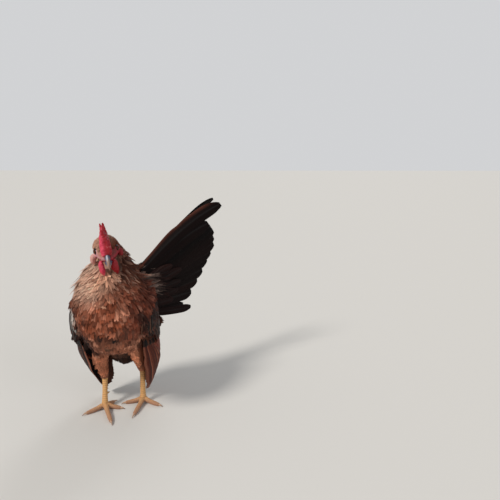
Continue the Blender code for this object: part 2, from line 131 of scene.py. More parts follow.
SIDES = ((1, "left"), (-1, "right"))
TRIAL_PLACES = 260000  # for the coat's feathers, of which those too close together are left out
WING_REACH = 0.009  # metres within which a wing's long feathers hide the body's
TUFT_PATCH = 0.003  # of the bake map, for one feather
SPINE = 6  # points along a small feather's middle line
HOLD = 0.42  # a feather hangs free where the hull is further than this share of a step away
SMALL_LENGTH = 7.5  # millimetres; shorter feathers than this have the plainest pattern
GRID = (8, 40)  # a long feather's columns and stations
VANE_THICK, SHAFT_THICK = 0.3, 0.5

# The camera: its place, its turn and dip in degrees, and its focal length
CAMERA_PLACE = (160.2, -558.6, 305.0)
CAMERA_WAY = (-0.97, 11.5)
CAMERA_LENS = 36.72

scene = bpy.context.scene


def tone(red, green, blue):
    """A colour as the screen shows it, from 0 to 255, made linear."""
    share = np.array((red, green, blue)) / 255
    return np.where(share <= 0.04045, share / 12.92, ((share + 0.055) / 1.055) ** 2.4)


TAN, GOLD, SALMON = tone(232, 186, 160), tone(132, 66, 40), tone(240, 176, 142)
RUFOUS, MAROON, JET = tone(100, 48, 28), tone(50, 19, 14), tone(14, 11, 11)
STREAK, PALE, HIGHLIGHT_GREY = tone(46, 22, 15), tone(206, 152, 122), tone(196, 190, 184)
THIGH, LOW_BREAST, CROWN = tone(178, 110, 80), tone(134, 80, 58), tone(176, 132, 110)
CRIMSON, ROSE_HIGHLIGHT, FACE = tone(146, 6, 18), tone(226, 72, 100), tone(170, 74, 78)
LIT_MAUVE, LEG, LEG_PALE = tone(228, 186, 190), tone(222, 172, 112), tone(178, 134, 108)


def blend(a, b, share):
    """Colours between a and b, each point by its share."""
    share = np.asarray(share)[..., None]
    return np.asarray(a) * (1 - share) + np.asarray(b) * share


def layered(colour, *layers):
    """A colour with others laid over it, each by its share."""
    for over, share in layers:
        colour = blend(colour, over, share)
    return colour


def ramp(values, low, high):
    """0 below low and 1 above high, smooth between."""
    t = np.clip((values - low) / (high - low), 0, 1)
    return t * t * (3 - 2 * t)


def fade(values, low, high):
    """1 below low and 0 above high."""
    return 1 - ramp(values, low, high)


def near(points, place, reach):
    """1 at a place, falling to 0 at reach from it."""
    return fade(np.linalg.norm(points - np.asarray(place), axis=-1), 0.35 * reach, reach)


def unit(vectors):
    return vectors / np.maximum(np.linalg.norm(vectors, axis=-1, keepdims=True), 1e-9)


def world(points):
    return (np.asarray(points, float) + FEET) * MM


def in_bird(points):
    return points / MM - FEET


HEAD_AXES = np.array(Euler([math.radians(turn) for turn in HEAD_TURN]).to_matrix())


def in_head(points):
    return (in_bird(points) - HEAD_PLACE) @ HEAD_AXES


def from_head(points):
    return world(np.asarray(points, float) @ HEAD_AXES.T + HEAD_PLACE)


def waves(points, size, seed=0):
    """Smooth noise from -1 to 1, its humps about size apart, in metres."""
    shift = Vector((seed * 7.3, seed * 3.1, seed * 5.7))
    return np.array([noise.noise(Vector(point) / size + shift) for point in points])


# Shader writing


class Value:
    """A shader's value, on which the usual operators add Math nodes."""

    def __init__(self, finish, socket):
        self.finish = finish
        self.socket = socket

    def _math(self, operation, a, b=0.0):
        return self.finish.node("ShaderNodeMath", {"operation": operation}, {0: a, 1: b})

    def __add__(self, other):
        return self._math("ADD", self, other)

    def __radd__(self, other):
        return self._math("ADD", other, self)

    def __sub__(self, other):
        return self._math("SUBTRACT", self, other)

    def __rsub__(self, other):
        return self._math("SUBTRACT", other, self)

    def __mul__(self, other):
        return self._math("MULTIPLY", self, other)

    def absolute(self):
        return self._math("ABSOLUTE", self)

    def sine(self):
        return self._math("SINE", self)

    def clamped(self):
        return self._math("MINIMUM", self._math("MAXIMUM", self, 0.0), 1.0)


class Finish:
    """A material in the making."""

    def __init__(self, name, **fixed):
        self.material = bpy.data.materials.new(name)
        self.material.use_nodes = True
        self.tree = self.material.node_tree
        self.shader = self.tree.nodes["Principled BSDF"]
        for socket, value in fixed.items():
            self.shader.inputs[socket.replace("_", " ")].default_value = value

    def node(self, kind, settings=None, values=None, out=0):
        """Adds a node: its settings first, then the values or links of its sockets."""
        made = self.tree.nodes.new(kind)
        for key, value in (settings or {}).items():
            if key == "stops":
                while len(made.color_ramp.elements) < len(value):
                    made.color_ramp.elements.new(1.0)
                for stop, (place, colour) in zip(made.color_ramp.elements, value):
                    stop.position = place
                    stop.color = (*colour, 1)
            else:
                setattr(made, key, value)
        for key, value in (values or {}).items():
            if isinstance(value, Value):
                self.tree.links.new(value.socket, made.inputs[key])
            elif value is not None:
                made.inputs[key].default_value = value
        return Value(self, made.outputs[out])

    def attribute(self, name, out=0):
        return self.node("ShaderNodeAttribute", {"attribute_name": name}, out=out)

    def object_place(self):
        return self.node("ShaderNodeTexCoord", out=3)

    def noise(self, place, scale, detail=3.0):
        return self.node("ShaderNodeTexNoise", {}, {"Vector": place, "Scale": scale, "Detail": detail})

    def shaded(self, shade):
        """The tint that each corner was painted with, times a shade."""
        grey = self.node("ShaderNodeCombineXYZ", {}, {0: shade, 1: shade, 2: shade})
        settings = {"data_type": "RGBA", "blend_type": "MULTIPLY"}
        return self.node("ShaderNodeMix", settings, {0: 1.0, 6: self.attribute("tint"), 7: grey}, out=2)

    def bump(self, height, depth):
        return self.node("ShaderNodeBump", {}, {"Height": height, "Distance": depth, "Strength": 1.0})

    def feed(self, **sockets):
        for socket, value in sockets.items():
            self.tree.links.new(value.socket, self.shader.inputs[socket.replace("_", " ")])
        return self.material


def plumage_finish(name, roughness, barb_depth, gloss):
    """Feathers: the tint that each was made with, its barbs as fine slanted lines."""
    finish = Finish(name, Specular_IOR_Level=gloss)
    vane = finish.attribute("vane", out=1)
    along = finish.node("ShaderNodeSeparateXYZ", {}, {0: vane})
    across = Value(finish, along.socket.node.outputs[1])
    barbs = ((along - across.absolute() * 0.8) * 9.0).sine() * 0.5 + 0.5
    grain = finish.noise(vane, 1.4, 2.0)
    colour = finish.shaded(0.8 + barbs * 0.14 + grain * 0.26)
    rough = (roughness + grain * 0.2 - 0.1).clamped()
    relief = finish.bump(barbs * 0.6 + grain * 0.4, barb_depth)
    return finish.feed(Base_Color=colour, Roughness=rough, Normal=relief)


def skin_finish():
    """Bare skin: pebbled on the comb, wrinkled on the face, scaled on the legs."""
    finish = Finish("bare_skin", Specular_IOR_Level=0.36, Subsurface_Weight=0.08,
                    Subsurface_Radius=(0.003, 0.001, 0.0006))
    place = finish.object_place()
    fleshy = finish.attribute("fleshy", out=2)
    cells = {"Vector": place, "Scale": 1500.0}
    pebble = finish.node("ShaderNodeTexVoronoi", {"feature": "SMOOTH_F1"}, cells)
    mottle = finish.noise(place, 420.0, 4.0)
    fine = finish.noise(place, 2600.0)
    colour = finish.shaded(0.72 + mottle * 0.42 + fine * 0.14)
    rough = (0.62 - fleshy * 0.24 + fine * 0.12).clamped()
    height = (1.0 - pebble) * fleshy * 0.8 + mottle * 0.5 + fine * 0.2
    return finish.feed(Base_Color=colour, Roughness=rough, Normal=finish.bump(height, 0.00022))


def horn_finish():
    """Horn: fine streaks and faint clouds."""
    finish = Finish("horn", Specular_IOR_Level=0.55, Coat_Roughness=0.25)
    place = finish.object_place()
    streaks = finish.noise(place, 1900.0)
    colour = finish.shaded(0.82 + streaks * 0.2 + finish.noise(place, 500.0) * 0.16)
    rough = (0.3 + streaks * 0.22).clamped()
    return finish.feed(Base_Color=colour, Roughness=rough, Normal=finish.bump(streaks, 0.00005))


def eye_finish(side_name, centre, way):
    """A dark pupil in an orange-brown iris with a darker rim, under a wet surface."""
    finish = Finish(f"eye_{side_name}_wet", Roughness=0.08, Specular_IOR_Level=0.12, Coat_Weight=0.05,
                    Coat_Roughness=0.03)

    def vector(operation, a, b=None, out=0):
        return finish.node("ShaderNodeVectorMath", {"operation": operation}, {0: a, 1: b}, out)

    straight = vector("NORMALIZE", vector("SUBTRACT", finish.object_place(), tuple(centre)))
    spread = 1.0 - vector("DOT_PRODUCT", straight, tuple(way), 1)
    rays = finish.noise(straight, 14.0, 4.0)
    stops = [
        (0.0, tone(8, 6, 6)),
        (0.052, tone(9, 6, 6)),
        (0.062, tone(84, 38, 16)),
        (0.13, tone(112, 54, 22)),
        (0.185, tone(56, 26, 15)),
        (0.21, tone(30, 18, 16)),
        (0.4, tone(14, 9, 9)),
    ]
    iris = finish.node("ShaderNodeValToRGB", {"stops": stops}, {0: spread + rays * 0.012})
    return finish.feed(Base_Color=iris)


# Reading and writing meshes


def read(values, field, width=3, kind=float):
    found = np.empty(len(values) * width, kind)
    values.foreach_get(field, found)
    return found.reshape(-1, width)


def write(values, field, numbers):
    values.foreach_set(field, numbers.astype(np.float32).ravel())


def triangles(mesh):
    mesh.calc_loop_triangles()
    return read(mesh.loop_triangles, "vertices", 3, int)


def edges_of(mesh):
    return read(mesh.edges, "vertices", 2, int)


def paint(mesh, name, values):
    """Writes a colour, vector or number for each corner of a mesh."""
    kinds = {1: ("FLOAT", "value"), 3: ("FLOAT_VECTOR", "vector"), 4: ("FLOAT_COLOR", "color")}
    kind, field = kinds[1 if values.ndim == 1 else values.shape[1]]
    write(mesh.attributes.new(name, kind, "POINT").data, field, values)


def with_alpha(colours):
    return np.concatenate([np.clip(colours, 0, 1), np.ones((len(colours), 1))], 1)


def mesh_of(bm, name):
    """Ends a bmesh as a smooth mesh."""
    mesh = bpy.data.meshes.new(name)
    bm.to_mesh(mesh)
    bm.free()
    mesh.shade_smooth()
    return mesh


def placed(name, data):
    made = bpy.data.objects.new(name, data)
    scene.collection.objects.link(made)
    return made


def modified(mesh, kind, mask=None, **settings):
    """What a modifier makes of a mesh, within a mask of its corners if one is given."""
    thing = placed("cast", mesh)
    step = thing.modifiers.new("step", kind)
    for key, value in settings.items():
        setattr(step, key, value)
    if mask is not None:
        thing.vertex_groups.new(name="mask").add(np.nonzero(mask)[0].tolist(), 1.0, "REPLACE")
        step.vertex_group = "mask"
    made = bpy.data.meshes.new_from_object(thing.evaluated_get(bpy.context.evaluated_depsgraph_get()))
    bpy.data.objects.remove(thing)
    return made


def piece(name, mesh, finish, slot, *nodes):
    """A finished piece of the bird, which stands for these nodes."""
    mesh.materials.clear()
    mesh.materials.append(finish)
    made = placed(name, mesh)
    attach(made, "root")
    if nodes:
        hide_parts(*nodes)


def named(*starts):
    return [node for node in sorted(frame["nodes"]) if node.startswith(starts)]


# Skin

PLUMED = (
    "trunk", "neck", "head", "tail_base",
    "thigh_left", "thigh_right", "wing_left_coverts", "wing_right_coverts",
)
BARE = (
    "comb", "wattle_left", "wattle_right", "earlobe_left", "earlobe_right",
    "shank_left", "shank_right", "foot_left", "foot_right",
)
SWELL = 0.2  # closes the gaps between the solids
SKIN_VOXEL, HULL_VOXEL = 0.5, 1.0
SKIN_TRIANGLES = 186000
SKIN_DEPTH = {"trunk": 2.6, "neck": 2.4, "tail_base": 2.2, "head": 1.1, "wing": 1.5}  # under the solids


def on(owner, *starts):
    """Which corners or feathers belong to the nodes whose names start so."""
    return np.isin(owner, [k for k, name in enumerate(PLUMED + BARE) if name.startswith(starts)])


def cast_surface(nodes, voxel, fillers=()):
    """One closed surface round these nodes, with no gap between them."""
    whole = bmesh.new()
    for node in nodes:
        part = bmesh.new()
        part.from_mesh(frame["nodes"][node].data)
        bmesh.ops.remove_doubles(part, verts=part.verts, dist=1e-5)
        part.normal_update()
        for vertex in part.verts:
            vertex.co += vertex.normal * SWELL * MM
        copy = mesh_of(part, "part")
        whole.from_mesh(copy)
        bpy.data.meshes.remove(copy)
    for filler in fillers:
        filler(whole)
    return modified(mesh_of(whole, "cast"), "REMESH", mode="VOXEL", voxel_size=voxel * MM)


def soften(values, edges, rounds, share=0.6):
    """Draws each corner's value towards its neighbours', a few times over. share may differ by corner."""
    a, b = edges.T
    size = len(values)
    count = np.maximum(np.bincount(np.concatenate([a, b]), minlength=size), 1)
    flat = values.ndim == 1
    values = values[:, None] if flat else values
    share = np.broadcast_to(np.asarray(share, float), (size,))[:, None]
    for _ in range(rounds):
        sums = [np.bincount(a, row[b], size) + np.bincount(b, row[a], size) for row in values.T]
        values = values + (np.stack(sums, 1) / count[:, None] - values) * share
    return values[:, 0] if flat else values


def tree_with_owners(nodes):
    """A search tree of the nodes' surfaces, and the node that each triangle came from."""
    corners, faces, owners, start = [], [], [], 0
    for k, node in enumerate(nodes):
        mesh = frame["nodes"][node].data
        places = read(mesh.vertices, "co")
        tris = triangles(mesh)
        corners.append(places)
        faces.append(tris + start)
        owners += [k] * len(tris)
        start += len(places)
    tree = BVHTree.FromPolygons(np.concatenate(corners).tolist(), np.concatenate(faces).tolist())
    return tree, np.array(owners)


def owners_of(points, nodes):
    tree, owners = tree_with_owners(nodes)
    return owners[[tree.find_nearest(Vector(point))[2] for point in points]]


def knob(centre, radius):
    """A ball of flesh at a joint."""
    def add(bm):
        move = Matrix.Translation(Vector(world(centre)))
        bmesh.ops.create_icosphere(bm, subdivisions=3, radius=radius * MM, matrix=move)
    return add


def lid_frame(side):
    """The place and turn of an eye's lids, their axis along +Z, in the head's frame."""
    turn = math.radians(LID_TURN)
    out = np.array((side * math.cos(turn), -math.sin(turn), 0.06))
    out /= np.linalg.norm(out)
    up = np.array((0, 0, 1.0)) - out * out[2]
    up /= np.linalg.norm(up)
    return np.array((side * EYE_PLACE[0], *EYE_PLACE[1:])), out, up


def edges_by(corners):
    return list({edge for vertex in corners for edge in vertex.link_edges})


def lid_ring(side):
    """The rim of the lids: a ring drawn into an almond."""
    centre, out, up = lid_frame(side)
    ahead = np.cross(up, out)

    def add(bm):
        others = set(bm.verts)
        made = bmesh.ops.create_circle(bm, segments=10, radius=0.7)["verts"]
        bmesh.ops.rotate(bm, verts=made, cent=(0, 0, 0), matrix=Matrix.Rotation(math.pi / 2, 3, "X"))
        bmesh.ops.translate(bm, verts=made, vec=(3.6, 0, 0))
        bmesh.ops.spin(
            bm, geom=made + edges_by(made), cent=(0, 0, 0), axis=(0, 0, 1), angle=2 * math.pi, steps=28,
            use_merge=True,
        )
        for vertex in set(bm.verts) - others:
            x, y, z = vertex.co
            local = centre + out * (LID_OUT + z * 0.9) + ahead * x * 1.08 + up * y * 0.78
            vertex.co = Vector(from_head(local))
    return add


def leg_places(points):
    """For each point near a leg: how far down the shank or out along a toe it is, and which it is on."""
    along = np.zeros(len(points))
    facing = np.zeros((len(points), 3))
    on_toe = np.zeros(len(points), bool)
    best = np.full(len(points), 1e9)
    for side in HOCKS:
        hock, ankle = np.array(HOCKS[side], float), np.array(ANKLES[side], float)
        ways = [(hock, ankle, False)]
        for tip in TOES[side].values():
            ways.append((np.array((ankle[0], ankle[1], 2.2)), np.array((*tip, 1.5)), True))
        for start, end, toe in ways:
            line = end - start
            share = np.clip((points - start) @ line / (line @ line), 0, 1)
            gap = np.linalg.norm(points - start - share[:, None] * line, axis=1)
            closer = gap < best
            best[closer] = gap[closer]
            along[closer] = share[closer] * np.linalg.norm(line)
            facing[closer] = np.array((0, 0, 1.0)) if toe else np.array((0, -1.0, 0.15))
            on_toe[closer] = toe
    return along, facing, on_toe


def bare_face(places):
    """1 on the bare skin of the face, 0 under the head's feathers. places are in the head's frame."""
    _, y, z = places.T
    patch = fade(np.hypot((y + 8.5) / 11.5, (z + 3) / 8.2), 0.85, 1.1)
    lore = fade(y, -16.5, -14) * fade(z, 6, 9)
    chin = fade(y, -9, -3) * fade(z, -12, -9)
    return np.clip(np.maximum(np.maximum(patch, lore), chin), 0, 1)


def make_skin():
    """Shapes and paints the skin. It lies under the solids' faces, by the depth of the coat there."""
    fillers = [knob(place, 3.7) for place in HOCKS.values()]
    fillers += [knob(place, 3.3) for place in ANKLES.values()] + [lid_ring(1), lid_ring(-1)]
    nodes = PLUMED + BARE
    mesh = cast_surface(nodes, SKIN_VOXEL, fillers)
    points = read(mesh.vertices, "co")
    edges = edges_of(mesh)
    owner = owners_of(points, nodes)
    bird, head = in_bird(points), in_head(points)
    comb, wattle, lobe = on(owner, "comb"), on(owner, "wattle"), on(owner, "earlobe")
    leg = on(owner, "shank", "foot")
    face = np.where(on(owner, "head"), bare_face(head), 0)
    detail = comb | wattle | lobe | leg | (face > 0.02)
    points = soften(points, edges, 5, np.where(detail, 0.35, 0.7))

    depth = np.zeros(len(points))
    for start, deep in SKIN_DEPTH.items():
        depth[on(owner, start)] = deep
    depth *= 1 - face
    for side, hock in HOCKS.items():
        thigh = on(owner, f"thigh_{side}")
        depth[thigh] = 1.7 * ramp(bird[thigh, 2], hock[2] + 1, hock[2] + 16)
    depth = soften(depth, edges, 8) + SWELL * 0.8
    coverts = on(owner, "wing_left") * 1.0 - on(owner, "wing_right")
    points[:, 0] -= 4.2 * MM * soften(coverts, edges, 5)

    # the comb's points lean from side to side, and its base is fuller
    lean = 2.2 * ramp(head[:, 2], 14, 30) * np.cos(math.pi * (head[:, 1] - 1) / 9) * comb
    points = points + (lean * MM)[:, None] * HEAD_AXES[:, 0]
    on_comb = soften(comb.astype(float), edges, 5)
    thick = (0.24 * fade(head[:, 2], 14, 22) - 0.22 * ramp(head[:, 2], 18, 28)) * on_comb
    points = points + (thick * (head[:, 0] + lean) * MM)[:, None] * HEAD_AXES[:, 0]
    # growth on each axis from its root, and shift in millimetres
    for name, growth, shift in (
        ("wattle_left", (0.24, 0.2, 0), (-2.2, 0, 1.2)),
        ("wattle_right", (-0.04, -0.04, -0.04), (-1.2, 0, 0.8)),
        ("earlobe_right", (0, 0.05, 0.1), (-1.6, -0.5, -2.2)),
    ):
        mine = on(owner, name)
        top = points[mine][np.argmax(points[mine][:, 2])]
        middle = points[mine].mean(0) * (1, 1, 0) + top * (0, 0, 1)
        share = soften(mine.astype(float), edges, 8)[:, None]
        points = points + ((points - middle) * np.array(growth) + np.array(shift) * MM) * share

    # where, height, stretch, size and seed of the skin's pebbles, folds and wrinkles
    relief = np.zeros(len(points))
    bare = (face > 0.3) | lobe
    for mask, height, stretch, size, seed in (
        (comb, 0.55, 1, 0.0022, 1),
        (comb, 0.35, 1, 0.0011, 2),
        (wattle, 0.6, (2.2, 2.2, 0.6), 0.003, 3),
        (wattle, 0.2, 1, 0.0012, 4),
        (bare, 0.22, 1, 0.002, 5),
        (bare, 0.08, 1, 0.0009, 6),
    ):
        relief[mask] += height * waves(points[mask] * stretch, size, seed)
    write(mesh.vertices, "co", points)
    mesh.update()
    normals = read(mesh.vertex_normals, "vector")
    along, facing, on_toe = leg_places(bird)
    scute = 1 - (along / np.where(on_toe, 2.1, 2.5)) % 1
    front = ramp(np.einsum("ij,ij->i", normals, facing), 0.1, 0.6)
    plain = leg & ~on_toe & (front < 0.4)
    relief[leg] = (0.5 * scute ** 0.7 * front)[leg]
    relief[plain] += 0.12 * waves(points[plain], 0.0014, 7)
    points = points - normals * ((depth - relief) * MM)[:, None]
    points[:, 2] = np.where(leg, np.maximum(points[:, 2], 0), points[:, 2])
    write(mesh.vertices, "co", points)

    # painted light: the bare face and the lore are paler on the bird's right, the lit side, and darker on
    # its shaded left
    right = ramp(-head[:, 0], -2, 6)
    face_colour = blend(tone(128, 32, 38), LIT_MAUVE, right * ramp(head[:, 2], -10, -2))
    blush = 0.5 + 0.5 * waves(points[face > 0], 0.004, 8)
    face_colour[face > 0] = blend(face_colour[face > 0], tone(206, 58, 78), 0.5 * blush)
    lore = ramp(-head[:, 1], 9, 14) * ramp(head[:, 2], -5, 0)
    face_colour = blend(face_colour, blend(tone(92, 34, 28), tone(168, 98, 74), right), 0.8 * lore)
    # painted shade: under the coat the skin takes the plumage's colour, darkened as the gaps between the
    # feathers are
    colour = layered(body_tint(in_bird(points)) * 0.55, (FACE, face), (face_colour, face))
    # painted light: the comb and wattles turn pink on the bird's lit right as a painted highlight, with a
    # painted sheen over them
    red = comb | wattle
    painted_sheen = 0.3 * waves(points[red], 0.0016, 9)
    lit_side_highlight = np.clip(0.02 + 0.75 * ramp(-head[red, 0], -0.5, 3.5) + painted_sheen, 0, 1)
    colour[red] = blend(CRIMSON, ROSE_HIGHLIGHT, lit_side_highlight)
    # painted light: the lobe on the bird's lit right is pale, the one on its shaded left dark red
    colour[lobe] = blend(tone(208, 156, 146), tone(140, 26, 32), ramp(head[lobe, 0], -6, 6))
    yellow = blend(LEG, LEG_PALE, ramp(-bird[:, 2], -9, -2))
    grooves = np.where(front > 0.3, (1 - scute) ** 3, 0.2)
    colour[leg] = blend(yellow, tone(120, 70, 44), 0.8 * grooves)[leg]
    fleshy = np.clip(comb * 1.0 + wattle * 0.8 + face * 0.5 + lobe * 0.3, 0, 1)
    paint(mesh, "tint", with_alpha(soften(colour, edges, 2)))
    paint(mesh, "fleshy", soften(fleshy, edges, 2))

    covered = soften(detail.astype(float), edges, 6) == 0
    made = modified(mesh, "DECIMATE", covered, ratio=SKIN_TRIANGLES / (2 * len(mesh.polygons)))
    made.shade_smooth()
    piece("skin", made, skin_finish(), "comb_red", *nodes)


# Colours of the plumage, by place on the bird


def body_tint(bird):
    """The ground colour of the plumage, without what differs from feather to feather."""
    x, y, z = bird.T
    pale = TAN * (0.8 + 0.2 * ramp(z, 150, 160) - 0.25 * ramp(-x, 18, 32))[:, None]
    # partly painted shade: the hackle turns from tan on the bird's right, the lit side, to a darker rufous
    # on its shaded left
    hackle = blend(pale, RUFOUS * 0.85, ramp(x, -13, 10))
    throat = ramp(-np.abs(x + 9), -14, -4) * ramp(-y, 4, 18) * ramp(z, 148, 166)
    thigh = THIGH * (1 + 0.5 * ramp(x, 4, 12))[:, None]
    # the vent under the belly between the thighs: dark fluff, darkened further as painted shade
    vent = fade(z, 76, 88) * fade(np.abs(x + 2), 9, 16) * ramp(y, -46, -34)
    saddle = ramp(x, 22, 34) * ramp(y, -16, 0) * ramp(z, 84, 110) * fade(z, 150, 168)
    return layered(
        np.tile(GOLD, (len(x), 1)),
        (LOW_BREAST, fade(z, 104, 122)),
        (RUFOUS * 0.8, 0.85 * fade(x, -34, -14) * fade(z, 136, 150)),
        (hackle, ramp(z + 9 * ramp(-x, 2, 16), 146, 166)),
        (SALMON, 0.8 * throat),
        # the crown, tan on the lit right and rufous on the shaded left: its own colour with painted shade
        (blend(CROWN, RUFOUS, ramp(x, -10, 2)), ramp(z, 180, 190)),
        (thigh, fade(z, 68, 84) * (1 - ramp(y, 12, 26) * ramp(z, 52, 60))),
        (MAROON, ramp(y, 12, 28) * ramp(z, 84, 120) * fade(z, 150, 172)),
        (JET, ramp(y, 2, 18) * fade(z, 60, 92) * ramp(z, 44, 50)),
        # dark vent fluff with painted shade
        (tone(46, 29, 24), 0.9 * vent),
        (tone(44, 20, 15), 0.9 * saddle),
        # painted shade: the bird's shaded left flank darkened to a deeper rufous
        (tone(104, 44, 27), 0.7 * ramp(x, 10, 24) * ramp(z, 98, 110) * fade(z, 146, 158)),
        # painted shade under the right wing, and beside it
        (tone(38, 18, 14), 0.9 * ramp(-x, 19, 26) * fade(z, 106, 116) * ramp(z, 70, 78)),
        (tone(54, 31, 24), 0.8 * ramp(-x, 35, 42) * fade(z, 126, 138) * ramp(z, 66, 76)),
    )


# Marks in the plumage: place, reach, colour, share
MARKS = (
    ((-0.5, -45, 150), 4.5, PALE * 1.3, 0.95),
    ((-5, -47.5, 144.5), 4.5, PALE * 1.2, 0.9),
    ((16.5, -46, 136), 9.5, tone(216, 146, 116), 0.8),
    ((19, -36, 92), 9, THIGH, 0.7),
    ((33, -29, 128), 12, tone(46, 20, 15), 0.8),
    ((-5.6, -53.5, 110), 8, JET, 1),
    ((7.9, -51.5, 108), 7.5, JET, 1),
    ((-1.7, -50, 99), 5, PALE, 0.7),
    ((37.1, -23.3, 114.4), 13, JET, 0.9),
    ((38.9, -15.1, 90), 12, MAROON, 0.6),
    ((24, 47, 157), 17, tone(146, 124, 114), 0.85),
    ((30, 50, 133), 11, tone(146, 124, 114), 0.75),
    # painted highlight: a grey gloss on the right wing's shoulder
    ((-45, -23, 129), 7, HIGHLIGHT_GREY, 0.7),
    ((-47, -24, 119), 7, HIGHLIGHT_GREY, 0.7),
)


def feather_tints(bird, owner, rng):
    """Each feather's ground colour, the colour of its middle stripe, how strong that is, and its rim's."""
    x, y, z = bird.T
    count = len(bird)
    ground = body_tint(bird)
    hackle = ramp(z, 136, 156) * fade(z, 176, 184)
    strength = np.where(rng.random(count) < 0.3, 0.8, 0.3) * rng.random(count)
    strength = np.maximum(strength, hackle * np.where(rng.random(count) < 0.45, 0.85, 0.15))
    on_back = ramp(y, 12, 26) * ramp(z, 84, 110) * (1 - hackle)
    strength = np.maximum(strength, 0.6 * on_back)
    stripe = layered(np.tile(STREAK, (count, 1)), (JET, 0.5 * hackle), (JET, on_back))
    rim = rng.normal(0.2, 0.34, count)

    for side, name in SIDES:
        covert = on(owner, f"wing_{name}")
        dark = 0.75 + 0.3 * ramp(z, 100, 126) * (side > 0) + rng.normal(0, 0.15, count)
        colour = blend(ground, tone(26, 13, 11), np.clip(dark, 0, 1))
        ground = np.where(covert[:, None], colour, ground)
        rim = np.where(covert, 0.5 + rng.random(count), rim)
    rump = on(owner, "tail_base")
    ground[rump] = blend(MAROON, JET, np.clip(0.55 + rng.normal(0, 0.3, count), 0, 1))[rump]
    for place, reach, colour, share in MARKS:
        ground = blend(ground, colour, share * near(bird, place, reach))

    on_body = on(owner, "trunk", "neck")
    # painted light and shade: besides each feather's own random tone, clumps of feathers are made lighter
    # and darker as light catches them
    clump_light_and_shade = 0.5 * waves(bird * MM, 0.011, 12) + 0.4 * waves(bird * MM, 0.006, 13)
    lift = rng.normal(-0.03, 0.18, count) + clump_light_and_shade * (z < 160) * (y < 12)
    paler = np.clip(0.4 * lift, 0, 0.3) * np.clip(ground.mean(1) / 0.1, 0, 1) * on_body
    ground = ground * np.exp(np.minimum(lift, 0.6 * lift))[:, None]
    ground = blend(ground, TAN * 0.75, paler)
    fair = (rng.random(count) < np.where(z > 156, 0.35, 0.16)) & on_body
    fair &= ((z < 156) | (x > 2)) & (z > 98) & (y < 20)
    fairer = (0.12 + 0.23 * ramp(z[fair], 148, 158)) * rng.random(fair.sum())
    ground[fair] = blend(ground[fair], TAN, fairer)
    ground = blend(ground, ground[:, [0, 0, 0]] * (1, 0.5, 0.34), 0.16 * rng.random(count))
    dark_few = (rng.random(count) < 0.07) & (z > 84) & (z < 176)
    ground[dark_few] *= 0.5
    return ground, stripe, strength, rim


# Coat


